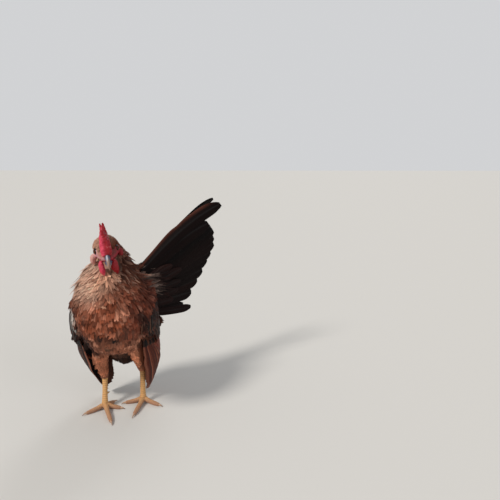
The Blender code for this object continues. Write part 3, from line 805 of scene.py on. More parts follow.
class Hull:
    """The outline of the plumage: feathers rise from under it and end on it."""

    def __init__(self):
        plates = [node for node in named("wing_", "tail_", "sickle") if node not in PLUMED]
        nodes = list(PLUMED) + plates
        mesh = cast_surface(nodes, HULL_VOXEL)
        edges = edges_of(mesh)
        self.points = soften(read(mesh.vertices, "co"), edges, 6)
        write(mesh.vertices, "co", self.points)
        mesh.update()
        self.normals = read(mesh.vertex_normals, "vector")
        self.tris = triangles(mesh)
        self.owner = owners_of(self.points, nodes)
        self.flow = self.lie(edges)
        self.tree = BVHTree.FromPolygons(self.points.tolist(), self.tris.tolist())
        bpy.data.meshes.remove(mesh)

    def lie(self, edges):
        """Which way the feathers lie, smoothed over the body and along its surface."""
        x, y, z = in_bird(self.points).T
        under, back, high = fade(z, 58, 88), ramp(y, 8, 30), ramp(z, 100, 132)
        outward = 0.16 * np.sign(x + 6) * ramp(z, 130, 165)
        way = np.stack([outward, 0.12 + 1.3 * under + 0.9 * back, -1 + 0 * z], 1)
        tailward = np.array((math.sin(TAIL_SWING), math.cos(TAIL_SWING), 0.05))
        way = way * (1 - 0.85 * back * high)[:, None] + tailward * (back * high)[:, None]
        head, rump = on(self.owner, "head"), on(self.owner, "tail_base")
        cheek = ramp(-in_head(self.points)[head, 2], 2, 9)
        way[head] = np.stack([0 * cheek, 1 - 0.55 * cheek, -0.3 - 0.9 * cheek], 1) @ HEAD_AXES.T
        way[rump] = tailward
        way[rump, 2] += 0.25 - 0.75 * ramp(-z[rump], -150, -118)
        way[on(self.owner, "thigh")] = (0, 0.2, -1)
        way[on(self.owner, "wing")] = (0, 0.45, -1)
        way = soften(unit(way), edges, 14, 0.7)
        way -= self.normals * np.sum(way * self.normals, 1, keepdims=True)
        return unit(way)

    def sample(self, count, spacing, rng):
        """Places all over the hull, denser where the spacing is small."""
        a, b, c = (self.points[self.tris[:, k]] for k in range(3))
        area = np.linalg.norm(np.cross(b - a, c - a), axis=1)
        weight = area / spacing[self.tris].mean(1) ** 2 * (self.owner[self.tris].max(1) < len(PLUMED))
        chosen = rng.choice(len(self.tris), count, p=weight / weight.sum())
        r, t = np.sqrt(rng.random(count))[:, None], rng.random(count)[:, None]
        return (1 - r) * a[chosen] + r * (1 - t) * b[chosen] + r * t * c[chosen], chosen

    def at(self, faces, field):
        return field[self.tris[faces]].mean(1)

    def trace(self, roots, faces, length, yaw):
        """Each feather's middle line over the hull, its normals, and how many of its steps hang free."""
        step = length / (SPINE - 1)
        here, normal = roots.copy(), unit(self.at(faces, self.normals))
        way = self.turned(unit(self.at(faces, self.flow)), normal, yaw)
        line, normals = [here], [normal]
        loose = np.zeros(len(roots), int)
        for _ in range(SPINE - 1):
            aim = here + way * step[:, None]
            ahead, faces = aim.copy(), faces.copy()
            for k, point in enumerate(aim):
                found, _, index, gap = self.tree.find_nearest(Vector(point))
                if gap < HOLD * step[k]:
                    ahead[k] = found
                    faces[k] = index
                else:
                    faces[k] = -1
            held = faces >= 0
            loose += ~held
            new_normal = normal.copy()
            new_normal[held] = unit(self.at(faces[held], self.normals))
            new_way = way.copy()
            new_way[held] = self.turned(unit(self.at(faces[held], self.flow)), new_normal[held], yaw[held])
            new_way[~held] = unit(way[~held] + (0, 0, -0.12))
            faces[~held] = 0
            here, normal, way = ahead, new_normal, unit(new_way + 0.6 * way)
            line.append(here)
            normals.append(normal)
        return np.stack(line, 1), np.stack(normals, 1), loose

    @staticmethod
    def turned(way, normal, yaw):
        across = np.cross(normal, way)
        return way * np.cos(yaw)[:, None] + across * np.sin(yaw)[:, None]


def scatter(places, spacing, rng):
    """Picks places that keep their distance from one another."""
    tree = KDTree(len(places))
    for k, place in enumerate(places):
        tree.insert(place, k)
    tree.balance()
    free = np.ones(len(places), bool)
    kept = []
    for k in rng.permutation(len(places)):
        if free[k]:
            kept.append(k)
            free[[found[1] for found in tree.find_range(places[k], spacing[k])]] = False
    return np.array(kept)


class Pattern:
    """The corners and triangles of one feather: u runs from root to tip, v from edge to edge."""

    def __init__(self, stations, barbs, solid, pointed, sweep):
        u, v, fringe, faces = [], [], [], []

        def add(along, across, is_fringe=False):
            u.append(along)
            v.append(across)
            fringe.append(is_fringe)

        rows = np.linspace(0, 1, stations + 1)
        for row in rows:
            for across in (-solid, 0, solid):
                add(row, across)
        for k in range(stations):
            for left, right in ((0, 1), (1, 2)):
                a, b, c, d = 3 * k + left, 3 * k + right, 3 * k + 3 + right, 3 * k + 3 + left
                faces += [(a, b, c), (a, c, d)]
            for side, column in ((-1, 0), (1, 2)):
                for barb in range(barbs):
                    low = (barb + 0.5) / barbs
                    add(rows[k] + (rows[k + 1] - rows[k]) * low, side, True)
                    tip, a, b = len(u) - 1, 3 * k + column, 3 * k + 3 + column
                    faces.append((a, b, tip) if side < 0 else (a, tip, b))
        for side in (-0.5, 0.0, 0.5):
            add(1.06, side)
        end = 3 * stations
        faces += [(end, end + 1, len(u) - 3), (end, end + 1, len(u) - 2), (end + 1, end + 2, len(u) - 1)]
        self.u, self.v, self.fringe, self.faces = (np.array(values) for values in (u, v, fringe, faces))
        self.pointed, self.sweep = pointed, sweep

    def half(self, u):
        """The vane's half width along it, as a share of its widest."""
        u = np.clip(u, 0, 1)
        if self.pointed:
            return np.minimum(1, (u / 0.3 + 0.05) ** 0.7) * fade(u, 0.45, 1.12) ** 0.8
        end = np.maximum(0.02, 1 - np.maximum(0, (u - 0.6) / 0.42) ** 2.3)
        return np.minimum(1, (u / 0.35 + 0.05) ** 0.7) * np.sqrt(end)


BODY_FEATHER = Pattern(8, 5, 0.6, False, 2.1)
HACKLE = Pattern(9, 3, 0.32, True, 3.4)
COVERT = Pattern(8, 3, 0.7, False, 1.6)
SMALL = Pattern(4, 1, 0.5, True, 2.2)


def plumes(pattern, rise, curl, feathers, rng):
    """Joins feathers of one pattern into arrays: corners, tints, vane places, bake places, triangles."""
    line, normals, length, half, flare, chart, ground, stripe, strength, rim = feathers
    count, corners = len(line), len(pattern.u)
    u = np.tile(pattern.u, (count, 1))
    v = np.tile(pattern.v, (count, 1))
    width = half[:, None] * pattern.half(pattern.u)
    v[:, pattern.fringe] *= 0.82 + 0.36 * rng.random((count, pattern.fringe.sum()))
    u = u + np.abs(v) * width / length[:, None] * pattern.sweep * (0.85 + 0.3 * rng.random((count, 1)))
    along = np.clip(u, 0, 1.4) * (SPINE - 1)
    low = np.minimum(along.astype(int), SPINE - 2)
    share = (along - low)[..., None]
    rows = np.arange(count)[:, None]
    start, end = line[rows, low], line[rows, low + 1]
    inside = np.minimum(share, 1)
    normal = unit(normals[rows, low] * (1 - inside) + normals[rows, low + 1] * inside)
    place = start + (end - start) * share
    across = unit(np.cross(unit(end - start), normal))
    roll = rng.normal(0, 0.14, (count, 1))
    bend = rng.normal(0, curl, (count, 1)) * length[:, None] * np.clip(u, 0, 1.3) ** 2
    deep, middle, tip, loose = rise
    capped = np.clip(u, 0, 1.2)
    height = deep + (middle - deep) * np.minimum(1, capped * 2)
    height = height + (tip - middle) * np.maximum(0, capped * 2 - 1)
    height = height + rng.random((count, 1)) ** 2 * loose * flare[:, None] * capped ** 2
    camber = 0.16 * v * v * width
    height = height - camber + roll * v * width + (np.abs(v) < 0.1) * 0.06
    points = place + (across * (v * width + bend)[..., None] + normal * height[..., None]) * MM

    middle_band = np.clip(1 - np.abs(v) / 0.55, 0, 1) * ramp(u, 0.1, 0.4) * fade(u, 0.8, 1.0)
    share = (strength[:, None] * middle_band)[..., None]
    tint = ground[:, None] * (1 - share) + stripe[:, None] * share
    edge = np.maximum(rim[:, None], -0.5) * np.clip((np.abs(v) - 0.5) * 2 + ramp(u, 0.8, 1.05), 0, 1)
    # the rim lighter or darker, and painted shade: each feather darker towards its root, under the
    # feathers that lie over it
    tint = tint * (1 + edge)[..., None] * (0.6 + 0.42 * ramp(u, 0.1, 0.75))[..., None]
    own = np.tile(rng.random((count, 1)) * 10, (1, corners))
    vane = np.stack([u * length[:, None], v * width, own], 2)
    bake = chart[:, None] + np.stack([v, u - 0.5], 2) * TUFT_PATCH / 2
    faces = pattern.faces[None] + (np.arange(count) * corners)[:, None, None]
    return [part.reshape(-1, part.shape[-1]) for part in (points, tint, vane, bake, faces)]


def coat_piece(name, parts, finish, slot):
    """One piece of the coat, a mesh of triangles from its feathers' arrays."""
    points, tint, vane, bake, faces = parts
    mesh = bpy.data.meshes.new(name)
    mesh.vertices.add(len(points))
    write(mesh.vertices, "co", points)
    mesh.loops.add(faces.size)
    mesh.loops.foreach_set("vertex_index", faces.astype(np.int32).ravel())
    mesh.polygons.add(len(faces))
    mesh.polygons.foreach_set("loop_start", np.arange(0, faces.size, 3, dtype=np.int32))
    mesh.update(calc_edges=True)
    layer = mesh.uv_layers.new(name="OFBake")
    write(layer.uv, "vector", bake[faces.ravel()])
    mesh.shade_smooth()
    paint(mesh, "tint", with_alpha(tint))
    paint(mesh, "vane", vane)
    piece(name, mesh, finish, slot)


def chart_of(places):
    """Where each feather sits on the bake map: its turn round the body, and its height."""
    x, y, z = in_bird(places).T
    turn = np.arctan2(x + 5, -y) / (2 * math.pi) + 0.5
    return np.stack([0.02 + 0.96 * turn, 0.02 + 0.96 * np.clip((z - 25) / 190, 0, 1)], 1)


def feather_sizes(hull):
    """Length, half width and spacing in millimetres, at each corner of the hull."""
    _, y, z = in_bird(hull.points).T
    size = layered(
        np.tile((16.0, 2.9, 2.3), (len(z), 1)),
        ((21, 1.8, 1.55), ramp(z, 134, 156)),
        ((12, 2.4, 2.1), fade(z, 60, 84)),
        ((22, 2.2, 1.95), ramp(y, 14, 30) * ramp(z, 96, 120)),
    )
    thigh, wing = on(hull.owner, "thigh"), on(hull.owner, "wing")
    head = on(hull.owner, "head") | (on(hull.owner, "neck") & (z > 184))
    size[thigh] = blend((4.5, 0.8, 1.0), (10.5, 2.0, 1.75), ramp(z[thigh], 38, 66))
    size[wing] = blend((11, 3.4, 3.0), (9, 2.9, 2.5), ramp(z[wing], 106, 130))
    size[on(hull.owner, "tail_base")] = (24, 1.9, 1.6)
    ahead = ramp(-in_head(hull.points)[head, 1], -6, 8)
    size[head] = blend((6.8, 0.95, 0.95), (3.4, 0.75, 0.72), ahead)
    edges = np.concatenate([hull.tris[:, [0, 1]], hull.tris[:, [1, 2]], hull.tris[:, [2, 0]]])
    return soften(size, edges, 6)


def grow_coat(soft, gloss):
    """Lays the small feathers over the hull, off the bare face and not under the wings' long feathers."""
    rng = np.random.default_rng(7)
    hull = Hull()
    size = feather_sizes(hull)
    places, faces = hull.sample(TRIAL_PLACES, size[:, 2], rng)
    kept = scatter(places, hull.at(faces, size[:, 2]) * MM, rng)
    places, faces = places[kept], faces[kept]
    owner = hull.owner[hull.tris[faces, 0]]
    bare = (bare_face(in_head(places)) >= 0.45) & on(owner, "head")
    wings, _ = tree_with_owners(named("wing_"))
    out = hull.at(faces, hull.normals)
    for k in np.nonzero(on(owner, "trunk", "tail_base", "thigh"))[0]:
        if wings.ray_cast(Vector(places[k]), Vector(out[k]), WING_REACH)[0]:
            bare[k] = True
    places, faces, owner = (values[~bare] for values in (places, faces, owner))
    length, half, _ = hull.at(faces, size).T
    bird = in_bird(places)
    _, y, z = bird.T
    count = len(places)
    length = length * (0.85 + 0.3 * rng.random(count))
    half = half * (0.88 + 0.24 * rng.random(count))
    neck = ramp(z, 140, 160) * ~on(owner, "head")
    yaw = rng.normal(0, 0.1 + 0.08 * neck) + (0.45 + 0.3 * neck) * waves(places, 0.012, 11)
    over_wing = near(bird, (-46, -22, 135), 18) * on(owner, "trunk", "neck")
    on_mark = near(bird, (-3, -46, 153), 12)
    length = length * (1 - 0.5 * over_wing) * (1 - 0.35 * on_mark)
    line, normals, loose = hull.trace(places, faces, length * MM, yaw)
    colours = feather_tints(in_bird(line[:, 3]), owner, rng)
    ruffled = 5.0 * near(bird, (22, 6, 168), 18) + 2.5 * near(bird, (-36, 0, 168), 18)
    flare = 1 + ruffled * (rng.random(count) < 0.2)

    small = length < SMALL_LENGTH
    hackle = (neck > 0.4) & ~small
    tailward = (bird - TAIL_ROOT) @ (math.sin(TAIL_SWING), math.cos(TAIL_SWING), 0)
    rump = on(owner, "tail_base") & ~small
    fluff = near(bird, (22, 44, 156), 15) + near(bird, (29, 47, 133), 11) > 0.2
    wisp = rump & fluff & (rng.random(count) < 0.8)
    rump &= (tailward < 15) & (loose < 2)
    half = np.where(wisp, 0.5 * half, half)
    body = on(owner, "trunk") & ~small & ~hackle
    legs = on(owner, "thigh") & ~hackle & (z < 150)
    coverts = on(owner, "wing") & ~hackle & ~small & (loose < 3)
    # which feathers, their pattern, how high they stand at the root, the middle and the tip, and how
    # much more at random, how far they bend to the side, their finish and slot
    groups = (
        ("head", small & (z > 150), SMALL, (-0.9, -0.1, 0.35, 0.9), 0.1, soft, "plumage_gold"),
        ("hackle", hackle, HACKLE, (-3.6, -2.4, -1.3, 2.4), 0.13, soft, "plumage_gold"),
        ("breast", body & (y < 8), BODY_FEATHER, (-2.7, -1.6, -0.6, 1.6), 0.07, soft, "plumage_gold"),
        ("back", body & (y >= 8), HACKLE, (-2.2, -0.8, 0.5, 1.5), 0.1, gloss, "plumage_bay"),
        ("wisps", wisp, HACKLE, (-0.6, 1.0, 2.2, 3.0), 0.16, soft, "plumage_bay"),
        ("rump", rump, HACKLE, (-1.4, 0.4, 0.9, 2.4), 0.1, gloss, "plumage_bay"),
        ("legs", legs, BODY_FEATHER, (-1.7, -1.0, -0.5, 0.3), 0.05, soft, "plumage_gold"),
        ("wings", coverts, COVERT, (-3.6, -2.9, -2.0, 0.5), 0.03, gloss, "plumage_gold"),
    )
    traits = (line, normals, length, half, flare, chart_of(places), *colours)
    used = np.zeros(count, bool)
    for name, mask, pattern, rise, curl, finish, slot in groups:
        pick = np.nonzero(mask & ~used)[0]
        used |= mask
        parts = plumes(pattern, rise, curl, [values[pick] for values in traits], rng)
        coat_piece(f"coat_{name}", parts, finish, slot)


# Long feathers of the wings and tail


def spline(table, place):
    """The values of a table of rising stations, on cubics that pass through them."""
    rows = np.array(table, float)
    x, values = rows[:, 0], rows[:, 1:]
    last = len(x) - 1
    k = np.arange(last + 1)
    above, below = np.minimum(k + 1, last), np.maximum(k - 1, 0)
    slope = (values[above] - values[below]) / (x[above] - x[below])[:, None]
    place = np.atleast_1d(np.asarray(place, float))
    i = np.clip(np.searchsorted(x, place, side="right") - 1, 0, last - 1)
    span = (x[i + 1] - x[i])[:, None]
    t = (place[:, None] - x[i][:, None]) / span
    return (
        values[i] * (2 * t**3 - 3 * t**2 + 1) + slope[i] * span * (t**3 - 2 * t**2 + t)
        + values[i + 1] * (3 * t**2 - 2 * t**3) + slope[i + 1] * span * (t**3 - t**2)
    )


def wing_surface(side, along, height):
    """A point on the wing's outer face, from its place along the bird and its height."""
    middle, out, front, rear, front_share, rear_share = spline(WING, np.clip(height, *WING_HEIGHTS)).T
    share = (along - front) / (rear - front)
    ahead = share < WING_CREST
    turn = np.where(ahead, (WING_CREST - share) / WING_CREST, (share - WING_CREST) / (1 - WING_CREST)) ** 2
    turn = np.clip(turn, 0, 1.25)
    drop = np.where(ahead, 1 - front_share, 1 - rear_share) * turn
    trunk = np.interp(height, *np.array(TRUNK_SIDE, float).T)
    across = middle + (trunk - middle) * np.minimum(1, turn) + side * out * (1 - drop)
    return np.stack([across, along, height], 1)


def arch(bow, share):
    """How far a bowed feather has risen from the straight line at a share of its length."""
    return bow * 4 * share * (1 - share) * (0.7 + 0.6 * share)


def rounding(share, blunt):
    """How much of a long feather's width is left, rounded off from blunt to its tip."""
    past = np.maximum(0, (share - blunt) / (1.01 - blunt))
    return np.sqrt(np.maximum(0.004, 1 - past ** 2.2))


class TailVane:
    """A long tail feather on its side of the tail, in its layer of the stack."""

    def __init__(self, side, layer, shape, blunt=0.8):
        self.side, self.layer, self.blunt = side, layer, blunt
        self.root, climb, self.length, self.width, self.bow = shape
        self.climb = math.radians(climb)

    def half(self, u):
        share = HIDDEN + (1 - HIDDEN) * u
        return self.width / 2 * np.minimum(1, 0.4 + 1.4 * share) * rounding(share, self.blunt)

    def place(self, u, across, v):
        share = HIDDEN + (1 - HIDDEN) * u
        lift = arch(self.bow, share)
        rising, going = math.sin(self.climb), math.cos(self.climb)
        reach = share * self.length * going - lift * rising - across * rising
        rise = self.root + share * self.length * rising + lift * going + across * going
        root, climb, length, width, bow = SICKLES["left"]
        slope = math.radians(climb)
        along = np.clip(reach / (length * math.cos(slope)), 0, 1)
        ridge = root + width / 2 + reach * math.tan(slope) + arch(bow, along)
        below = np.maximum(0, ridge - rise)
        out = TENT_RIDGE + TENT_OPEN * (1 - np.exp(-below / TENT_EASE)) + self.layer * LAYER - 0.1 * v * v
        back = np.array((math.sin(TAIL_SWING), math.cos(TAIL_SWING), 0))
        beside = np.array((math.cos(TAIL_SWING), -math.sin(TAIL_SWING), 0)) * self.side
        place = TAIL_ROOT + back * reach[:, None] + beside * out[:, None]
        return place + np.array((0, 0, 1)) * rise[:, None]


class WingVane:
    """A long wing feather on the wing's outer face, under the feathers that lie behind it."""

    def __init__(self, side, root, tip, width, bow, inset, blunt):
        self.side, self.width, self.bow, self.inset, self.blunt = side, width, bow, inset, blunt
        self.root, self.tip = np.array(root, float), np.array(tip, float)
        self.length = float(np.linalg.norm(self.tip - self.root))

    def half(self, u):
        return self.width / 2 * np.minimum(1, 0.55 + 1.2 * u) * rounding(u, self.blunt)

    def place(self, u, across, v):
        way = (self.tip - self.root) / self.length
        beside = np.array((-way[1], way[0]))
        middle = self.root + way * (u * self.length)[:, None]
        flat = middle + beside * (self.bow * 4 * u * (1 - u) + across)[:, None]
        limit = spline(WING, np.clip(flat[:, 1], *WING_HEIGHTS))[:, 3] - 0.4
        flat[:, 0] = limit - 1.5 * np.logaddexp(0, (limit - flat[:, 0]) / 1.5)
        height = flat[:, 1]
        points = wing_surface(self.side, flat[:, 0], height)
        sunk = 2.6 * ramp(height, 62, 96) - 1.6 * fade(height, 58, 80)
        points[:, 0] -= self.side * (sunk + self.inset(*flat.T) + 0.2 * (v + 1) + 0.25 * v * v)
        return points


def long_feather(bm, vane, tint_at, strip, rng, torn):
    """Adds a feather made from a grid, with its shaft raised and its vane's edge a little torn."""
    tint_layer = bm.verts.layers.float_color["tint"]
    vane_layer = bm.verts.layers.float_vector["vane"]
    bake_layer = bm.verts.layers.float_vector["bake"]
    made = bmesh.ops.create_grid(bm, x_segments=GRID[0], y_segments=GRID[1], size=0.5)["verts"]
    places = np.array([vertex.co for vertex in made])
    v, u = places[:, 0] * 2, places[:, 1] + 0.5
    v = np.sign(v) * np.abs(v) ** 1.2
    seed = rng.random() * 100
    tear = np.array([noise.noise(Vector((seed, a * 24, np.sign(b)))) for a, b in zip(u, v)])
    notch = np.array([noise.noise(Vector((seed + 9, a * 9, np.sign(b) * 3))) for a, b in zip(u, v)])
    notch = ramp(notch, 0.38, 0.6) * 0.28 * torn
    wide = v * (1 - (0.05 * torn * (1 + tear) + notch) * (np.abs(v) > 0.7) * ramp(u, 0.05, 0.2))
    half = vane.half(u)
    sweep = np.abs(v) * half / vane.length * 0.5 * ramp(u, 0, 0.2) * fade(u, 0.7, 1.0)
    points = world(vane.place(np.minimum(1.0, u + sweep), wide * half, v))
    for vertex, point in zip(made, points):
        vertex.co = point
    faces = list({face for vertex in made for face in vertex.link_faces})
    for face in faces:
        face.normal_update()
    out = Vector((vane.side, 0, 0))
    if sum((face.normal for face in faces), Vector()).dot(out) < 0:
        bmesh.ops.reverse_faces(bm, faces=faces)
    for vertex in made:
        vertex.normal_update()
    shaft = np.clip(1 - np.abs(v) / 0.18, 0, 1) * (1 - 0.7 * u) * SHAFT_THICK * MM
    places = [vertex.co + vertex.normal * lift for vertex, lift in zip(made, shaft)]
    tints = with_alpha(tint_at(u, v))
    for vertex, place, tint, a, b, w in zip(made, places, tints, u * vane.length, wide * half, v):
        vertex.co = place
        vertex[tint_layer] = tint
        vertex[vane_layer] = (a, b, seed)
        vertex[bake_layer] = (strip[0] + strip[1] * (w * 0.48 + 0.5), 0.02 + 0.96 * a / vane.length, 0)
    bmesh.ops.solidify(bm, geom=faces, thickness=VANE_THICK * MM)


def feather_group(name, vanes, finish, slot, nodes, seed, torn=1.0):
    """One piece of long feathers: each is a vane and the function that tints it."""
    rng = np.random.default_rng(seed)
    bm = bmesh.new()
    bm.verts.layers.float_color.new("tint")
    bm.verts.layers.float_vector.new("vane")
    bm.verts.layers.float_vector.new("bake")
    for k, (vane, tint_at) in enumerate(vanes):
        strip = ((k + 0.06) / len(vanes), 0.88 / len(vanes))
        long_feather(bm, vane, tint_at, strip, rng, torn)
    bmesh.ops.triangulate(bm, faces=bm.faces)
    mesh = mesh_of(bm, name)
    bake = read(mesh.attributes["bake"].data, "vector")
    loops = read(mesh.loops, "vertex_index", 1, int)[:, 0]
    layer = mesh.uv_layers.new(name="OFBake")
    write(layer.uv, "vector", bake[loops, :2])
    piece(name, mesh, finish, slot, *nodes)


def striped(middle, front, rear, tip, band=0.75):
    """A tint for a long feather: its middle, its edge to the front, its rear edge and its tip."""
    def tint_at(u, v):
        colour = layered(
            np.tile(np.asarray(middle, float), (len(u), 1)),
            (front, ramp(-v, band - 0.35, band) * (1 - ramp(u, 0.9, 1.0) * 0.3)),
            (rear, ramp(v, band - 0.2, band + 0.1)),
            (tip, ramp(u, 0.78, 0.98)),
        )
        shaft = ramp(0.12 - np.abs(v), 0, 0.1)
        return blend(colour, colour * 0.55 + 0.012, shaft)
    return tint_at


def grow_tail(finish):
    """The sickles and the main feathers, more between the upper ones, and the coverts over their roots."""
    rng = np.random.default_rng(21)
    for side, name in SIDES:
        shapes = [(7 - k, shape) for k, shape in enumerate(TAIL_FEATHERS)] + [(8, SICKLES[name])]
        between = []
        for (layer, shape), (lower_layer, lower_shape) in zip(shapes[:4], shapes[1:5]):
            between.append(((layer + lower_layer) / 2, (np.array(shape) + lower_shape) / 2))
        vanes = []
        for layer, shape in shapes + between:
            ground = blend(JET, MAROON, 0.25 * rng.random() + 0.03 * (7 - layer))
            ground = ground * (0.5 + 0.3 * rng.random())
            upper = tone(90, 49, 38) if layer >= 7 and side > 0 else ground
            band = 0.75 if layer >= 7 else 0.9
            tint_at = striped(ground, ground, upper, ground * 0.9, band)
            vanes.append((TailVane(side, layer, shape), tint_at))
        for k, shape in enumerate(TAIL_COVERTS):
            ground = blend(tone(44, 21, 18), JET, 0.2 + 0.6 * rng.random())
            vane = TailVane(side, 7.3 - 0.95 * k, shape, 0.62)
            vanes.append((vane, striped(ground, ground * 0.6, ground * 1.2, ground * 1.1, 0.9)))
        nodes = [f"sickle_{name}"] + [f"tail_{name}_{k + 1}" for k in range(7)]
        feather_group(f"tail_{name}_feathers", vanes, finish, "plumage_dark", nodes, 30 + side, 0.3)


def grow_wings(finish):
    """The primaries, the secondaries over them, and the short rows over the roots of both."""
    rng = np.random.default_rng(31)

    def under_secondaries(deep):
        """An inset that is deeper under the secondaries, whose lowest lies along this line."""
        def inset(along, height):
            lowest = 96 - (along + 17) * 58 / 67
            return 0.3 + 2.4 * ramp(height - lowest, -9, 3) + deep
        return inset

    def even(deep):
        return lambda along, height: deep

    def to_root(deep, low, high):
        """An inset that is deeper towards the root."""
        return lambda along, height: deep + 3 * ramp(height, low, high)

    for side, name in SIDES:
        vanes = []
        for k in range(10):
            share = k / 9
            root = (-20 + 22 * share, 93 + 3 * share)
            tip = (36.5 + 12.5 * share ** 0.5, 6 + 31 * share + 1.2 * rng.random())
            dark = (tone(92, 40, 29) if side > 0 else tone(26, 14, 12)) * (0.6 + 0.6 * rng.random())
            edge = blend(tone(168, 102, 78), tone(80, 42, 32), 0.8 * rng.random())
            end = blend(dark, tone(186, 126, 104), 0.7 if side > 0 else 0.2)
            inset = under_secondaries(0.09 * (9 - k))
            vane = WingVane(side, root, tip, 11, -4.5 * (1 - share) ** 1.5, inset, 0.86)
            vanes.append((vane, striped(dark, edge, dark, end, 0.72 if side > 0 else 0.8)))
        nodes = [f"wing_{name}_primaries"]
        feather_group(f"wing_{name}_primary_feathers", vanes, finish, "plumage_dark", nodes, 40 + side)

        vanes = []
        for k in range(10):
            share = k / 9
            root = (-17 + 40 * share, 96 + 8 * share)
            tip = (50 + 2.4 * share, 38 + 49 * share + 1.5 * rng.random())
            ground = blend(tone(138, 50, 33), tone(36, 17, 13), 0.1 + 0.6 * rng.random())
            edge = blend(tone(150, 88, 62), ground, 0.4 * rng.random())
            vane = WingVane(side, root, tip, 12, 1.5 - 5 * (1 - share), even(0.5 + 0.15 * (9 - k)), 0.9)
            vanes.append((vane, striped(ground, edge, tone(24, 14, 12), ground, 0.78)))
        nodes = [f"wing_{name}_secondaries"]
        feather_group(f"wing_{name}_secondary_feathers", vanes, finish, "plumage_bay", nodes, 50 + side)

        vanes = []
        for row, (top, low, count, deep) in enumerate(((108, 86, 13, -1.0), (116, 97, 12, -1.6))):
            for k in range(count):
                share = k / (count - 1)
                along = -25 + 66 * share + 2 * row
                root = (along, top - 7 * (1 - share) * (1 - row))
                dark = JET * (0.8 + 0.6 * rng.random())
                edge = blend(tone(112, 70, 54), tone(40, 20, 16), rng.random())
                inset = to_root(deep - 0.04 * k, 96, 109)
                vane = WingVane(side, root, (along + 8, low - 3 + 4 * share), 8.5, 0, inset, 0.6)
                vanes.append((vane, striped(dark, edge, edge, blend(dark, edge, 0.5), 0.85)))
        # three broad feathers over the front of the rows; the foremost on the right is grey, a painted
        # highlight fading to dark behind it
        for k in range(3):
            fore = tone(24, 14, 12) if side > 0 else blend(HIGHLIGHT_GREY, tone(30, 20, 18), (0, 0.75, 0.96)[k])
            edge = tone(112, 76, 60) if side > 0 else blend(fore, tone(40, 28, 25), 0.6)
            front = -4 * (side > 0) + 6 * k
            root, tip = (-18 + front, 130), (-25 + front + k, 101 - 2 * k)
            vane = WingVane(side, root, tip, 9, 0, to_root(-1.3, 118, 128), 0.55)
            vanes.append((vane, striped(fore, edge, edge, edge * 0.8, 0.85)))
        feather_group(f"wing_{name}_row_feathers", vanes, finish, "plumage_dark", [], 60 + side)


# Horn and eyes


def ring_at(place, across, up):
    """The matrix that takes a flat unit circle to an oval on two half axes, in world metres."""
    across, up = Vector(across) * MM, Vector(up) * MM
    turned = Matrix((across, up, across.cross(up).normalized() * MM)).transposed().to_4x4()
    return Matrix.Translation(Vector(world(place))) @ turned


def lofted(bm, rings, segments):
    """A closed body bridged from circle to circle. Returns the corners of each circle."""
    before, corners = None, []
    for k, ring in enumerate(rings):
        end = k in (0, len(rings) - 1)
        made = bmesh.ops.create_circle(bm, cap_ends=end, segments=segments, radius=1, matrix=ring)["verts"]
        edges = edges_by(made)
        corners.append(made)
        if before:
            bmesh.ops.bridge_loops(bm, edges=before + edges)
        before = edges
    return corners


def horn_piece(name, build, tint_at, finish, node):
    bm = bmesh.new()
    build(bm)
    bmesh.ops.triangulate(bm, faces=[face for face in bm.faces if len(face.verts) > 4])
    bmesh.ops.recalc_face_normals(bm, faces=bm.faces)
    mesh = mesh_of(bm, name)
    paint(mesh, "tint", with_alpha(tint_at(read(mesh.vertices, "co"))))
    piece(name, mesh, finish, "horn", node)


def bill(table, keel):
    """Builds a half of the bill, with its ridge narrower than its edge."""
    def build(bm):
        ahead = np.linspace(table[0][0], table[-1][0], 26)
        ahead[:8] = np.linspace(table[0][0], table[0][0] + 3, 8)
        ahead.sort()
        circles = lofted(bm, [Matrix()] * len(ahead), 28)
        for made, row, along in zip(circles, spline(table, ahead), ahead):
            ridge, half, depth = np.maximum(row, (-99, 0.15, 0.3))
            for k, vertex in enumerate(made):
                turn = 2 * math.pi * k / len(made)
                x, z = math.sin(turn), math.cos(turn)
                narrow = 1 - 0.32 * max(0, z * keel) ** 1.5
                nostril = math.exp(-((along + 19.5) / 1.6) ** 2 - ((z - 0.1) / 0.22) ** 2)
                aside = x * narrow * half - math.copysign(nostril * 0.55 * (keel > 0), x)
                vertex.co = Vector(from_head((aside, along, ridge - depth / 2 + z * depth / 2)))
    return build


def bill_tint(points):
    x, y, z = in_head(points).T
    # painted highlight on the top of the bill's base
    bill_highlight = np.exp(-((x + 0.6) / 0.9) ** 2) * ramp(-y, 19, 21) * fade(-y, 25, 29)
    nostril = np.exp(-((y + 19.5) / 1.5) ** 2 - ((z + 2.4) / 0.8) ** 2) * (np.abs(x) > 2)
    return layered(
        tone(80, 86, 108),
        (tone(150, 116, 98), ramp(-y, 23, 29)),
        (tone(136, 98, 80), ramp(-y, 29, 34)),
        (tone(224, 228, 236), 0.65 * bill_highlight),
        (tone(40, 34, 38), nostril),
    )


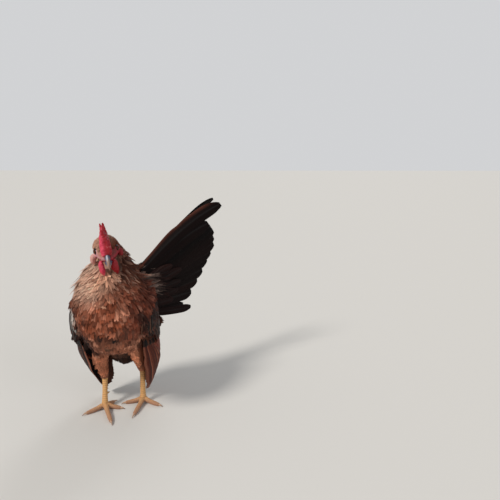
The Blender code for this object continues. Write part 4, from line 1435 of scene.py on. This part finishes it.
def claw(side_name, toe_name):
    """A claw that curves down to the ground."""
    ankle = np.array(ANKLES[side_name], float)
    tip = np.array(TOES[side_name][toe_name], float)
    way = tip - ankle[:2]
    whole = np.linalg.norm(way)
    way = np.array((*way / whole, 0))
    length = CLAW_LENGTH[toe_name]
    root = np.array((ankle[0], ankle[1], TOE_END)) + way * (whole - length - 0.9)
    beside = np.array((-way[1], way[0], 0))

    def build(bm):
        rings = []
        for share in (0, 0.1, 0.2, 0.35, 0.5, 0.65, 0.78, 0.88, 0.95, 1.0):
            lift = 0.75 * math.sin(share * 2.4) - 1.9 * share ** 2.4
            radius = 1.35 * (1 - share) ** 0.62 + 0.1
            place = root + way * (length + 0.6) * share + (0, 0, lift)
            place[2] = max(place[2], radius * 0.9 + 0.02)
            rings.append(ring_at(place, beside * radius * 0.82, (0, 0, radius)))
        lofted(bm, rings, 14)

    def tint_at(points):
        share = np.clip((in_bird(points) - root) @ way / length, 0, 1)
        return blend(tone(196, 158, 128), tone(150, 118, 98), ramp(share, 0.35, 1))
    return build, tint_at


def spur(side_name, side):
    """A short spur at the inner rear of a shank."""
    hock, ankle = np.array(HOCKS[side_name], float), np.array(ANKLES[side_name], float)
    down = (ankle - hock) / np.linalg.norm(ankle - hock)
    way = unit(np.array((-side * 0.8, 0.75, -0.1)))
    root = ankle - down * SPUR_HEIGHT
    beside = unit(np.cross(way, (0, 0, 1)))

    def build(bm):
        rings = []
        for share in (0, 0.15, 0.3, 0.5, 0.7, 0.85, 0.95, 1.0):
            place = root + way * (1.6 + 4.6 * share) + (0, 0, 0.5 * share ** 2)
            radius = 1.7 * (1 - share) ** 0.7 + 0.12
            rings.append(ring_at(place, beside * radius, np.cross(beside, way) * radius))
        lofted(bm, rings, 16)

    def tint_at(points):
        from_root = np.linalg.norm(in_bird(points) - root, axis=1)
        return blend(tone(206, 170, 120), tone(150, 118, 92), ramp(from_root, 2, 6))
    return build, tint_at


def make_horn():
    finish = horn_finish()
    horn_piece("upper_bill", bill(UPPER_BILL, 1), bill_tint, finish, "beak_upper")
    horn_piece("lower_bill", bill(LOWER_BILL, -1), bill_tint, finish, "beak_lower")
    for side, side_name in reversed(SIDES):
        for toe_name in CLAW_LENGTH:
            node = f"claw_{side_name}_{toe_name}"
            horn_piece(f"{node}_horn", *claw(side_name, toe_name), finish, node)
        node = f"spur_{side_name}"
        horn_piece(f"{node}_horn", *spur(side_name, side), finish, node)


def make_eyes():
    """A ball for each eye, its pupil on the axis of the lids."""
    for side, side_name in reversed(SIDES):
        centre, out, _ = lid_frame(side)
        middle, way = from_head(centre), out @ HEAD_AXES.T
        bm = bmesh.new()
        turn = Vector(way).to_track_quat("Z", "Y").to_matrix().to_4x4()
        move = Matrix.Translation(Vector(middle)) @ turn
        bmesh.ops.create_uvsphere(bm, u_segments=48, v_segments=32, radius=EYE_RADIUS * MM, matrix=move)
        finish = eye_finish(side_name, middle, way)
        piece(f"eye_{side_name}_ball", mesh_of(bm, "eye"), finish, "eye_dark", f"eye_{side_name}")


def make_stage():
    """A plain pale floor, soft light from the bird's front right, and the camera."""
    bm = bmesh.new()
    bmesh.ops.create_grid(bm, x_segments=1, y_segments=1, size=6)
    floor = placed("floor", mesh_of(bm, "floor"))
    pale = (*tone(214, 212, 208), 1)
    finish = Finish("pale_floor", Roughness=0.8, Specular_IOR_Level=0.2, Base_Color=pale)
    floor.data.materials.append(finish.material)

    surround = bpy.data.worlds.new("studio")
    surround.use_nodes = True
    tree = surround.node_tree
    seen = tree.nodes.new("ShaderNodeLightPath")
    strength = tree.nodes.new("ShaderNodeMix")
    strength.inputs["A"].default_value = 0.4
    strength.inputs["B"].default_value = 0.66
    tree.links.new(seen.outputs["Is Camera Ray"], strength.inputs["Factor"])
    tree.links.new(strength.outputs["Result"], tree.nodes["Background"].inputs["Strength"])
    tree.nodes["Background"].inputs["Color"].default_value = (0.97, 0.98, 1.0, 1)
    scene.world = surround

    # name, the way it comes from, spread in degrees, power, colour
    lights = (
        ("key", (-0.75, -0.62, 0.95), 14, 2.1, (1.0, 0.96, 0.9)),
        ("fill", (0.9, -0.6, 0.5), 30, 0.35, (0.93, 0.96, 1.0)),
        ("rim", (0.2, 1.0, 0.8), 20, 0.5, (1.0, 1.0, 1.0)),
    )
    for name, place, spread, power, colour in lights:
        lamp = bpy.data.lights.new(name, "SUN")
        lamp.angle = math.radians(spread)
        lamp.energy = power
        lamp.color = colour
        thing = placed(name, lamp)
        thing.location = Vector(world((0, 0, 115))) + Vector(place)
        thing.rotation_euler = (-Vector(place)).to_track_quat("-Z", "Y").to_euler()

    turn, dip = (math.radians(angle) for angle in CAMERA_WAY)
    ahead = Vector((math.sin(turn) * math.cos(dip), math.cos(turn) * math.cos(dip), -math.sin(dip)))
    lens = bpy.data.cameras.new("camera")
    lens.lens = CAMERA_LENS
    lens.sensor_width = 36
    lens.clip_start = 0.01
    camera = placed("camera", lens)
    camera.location = world(CAMERA_PLACE)
    camera.rotation_euler = ahead.to_track_quat("-Z", "Y").to_euler()
    scene.camera = camera
    scene.view_settings.view_transform = "Standard"


def main():
    soft = plumage_finish("feather_soft", 0.75, 0.00012, 0.2)
    gloss = plumage_finish("feather_gloss", 0.45, 0.00016, 0.07)
    make_skin()
    make_horn()
    make_eyes()
    grow_coat(soft, gloss)
    grow_tail(gloss)
    grow_wings(gloss)
    make_stage()


main()
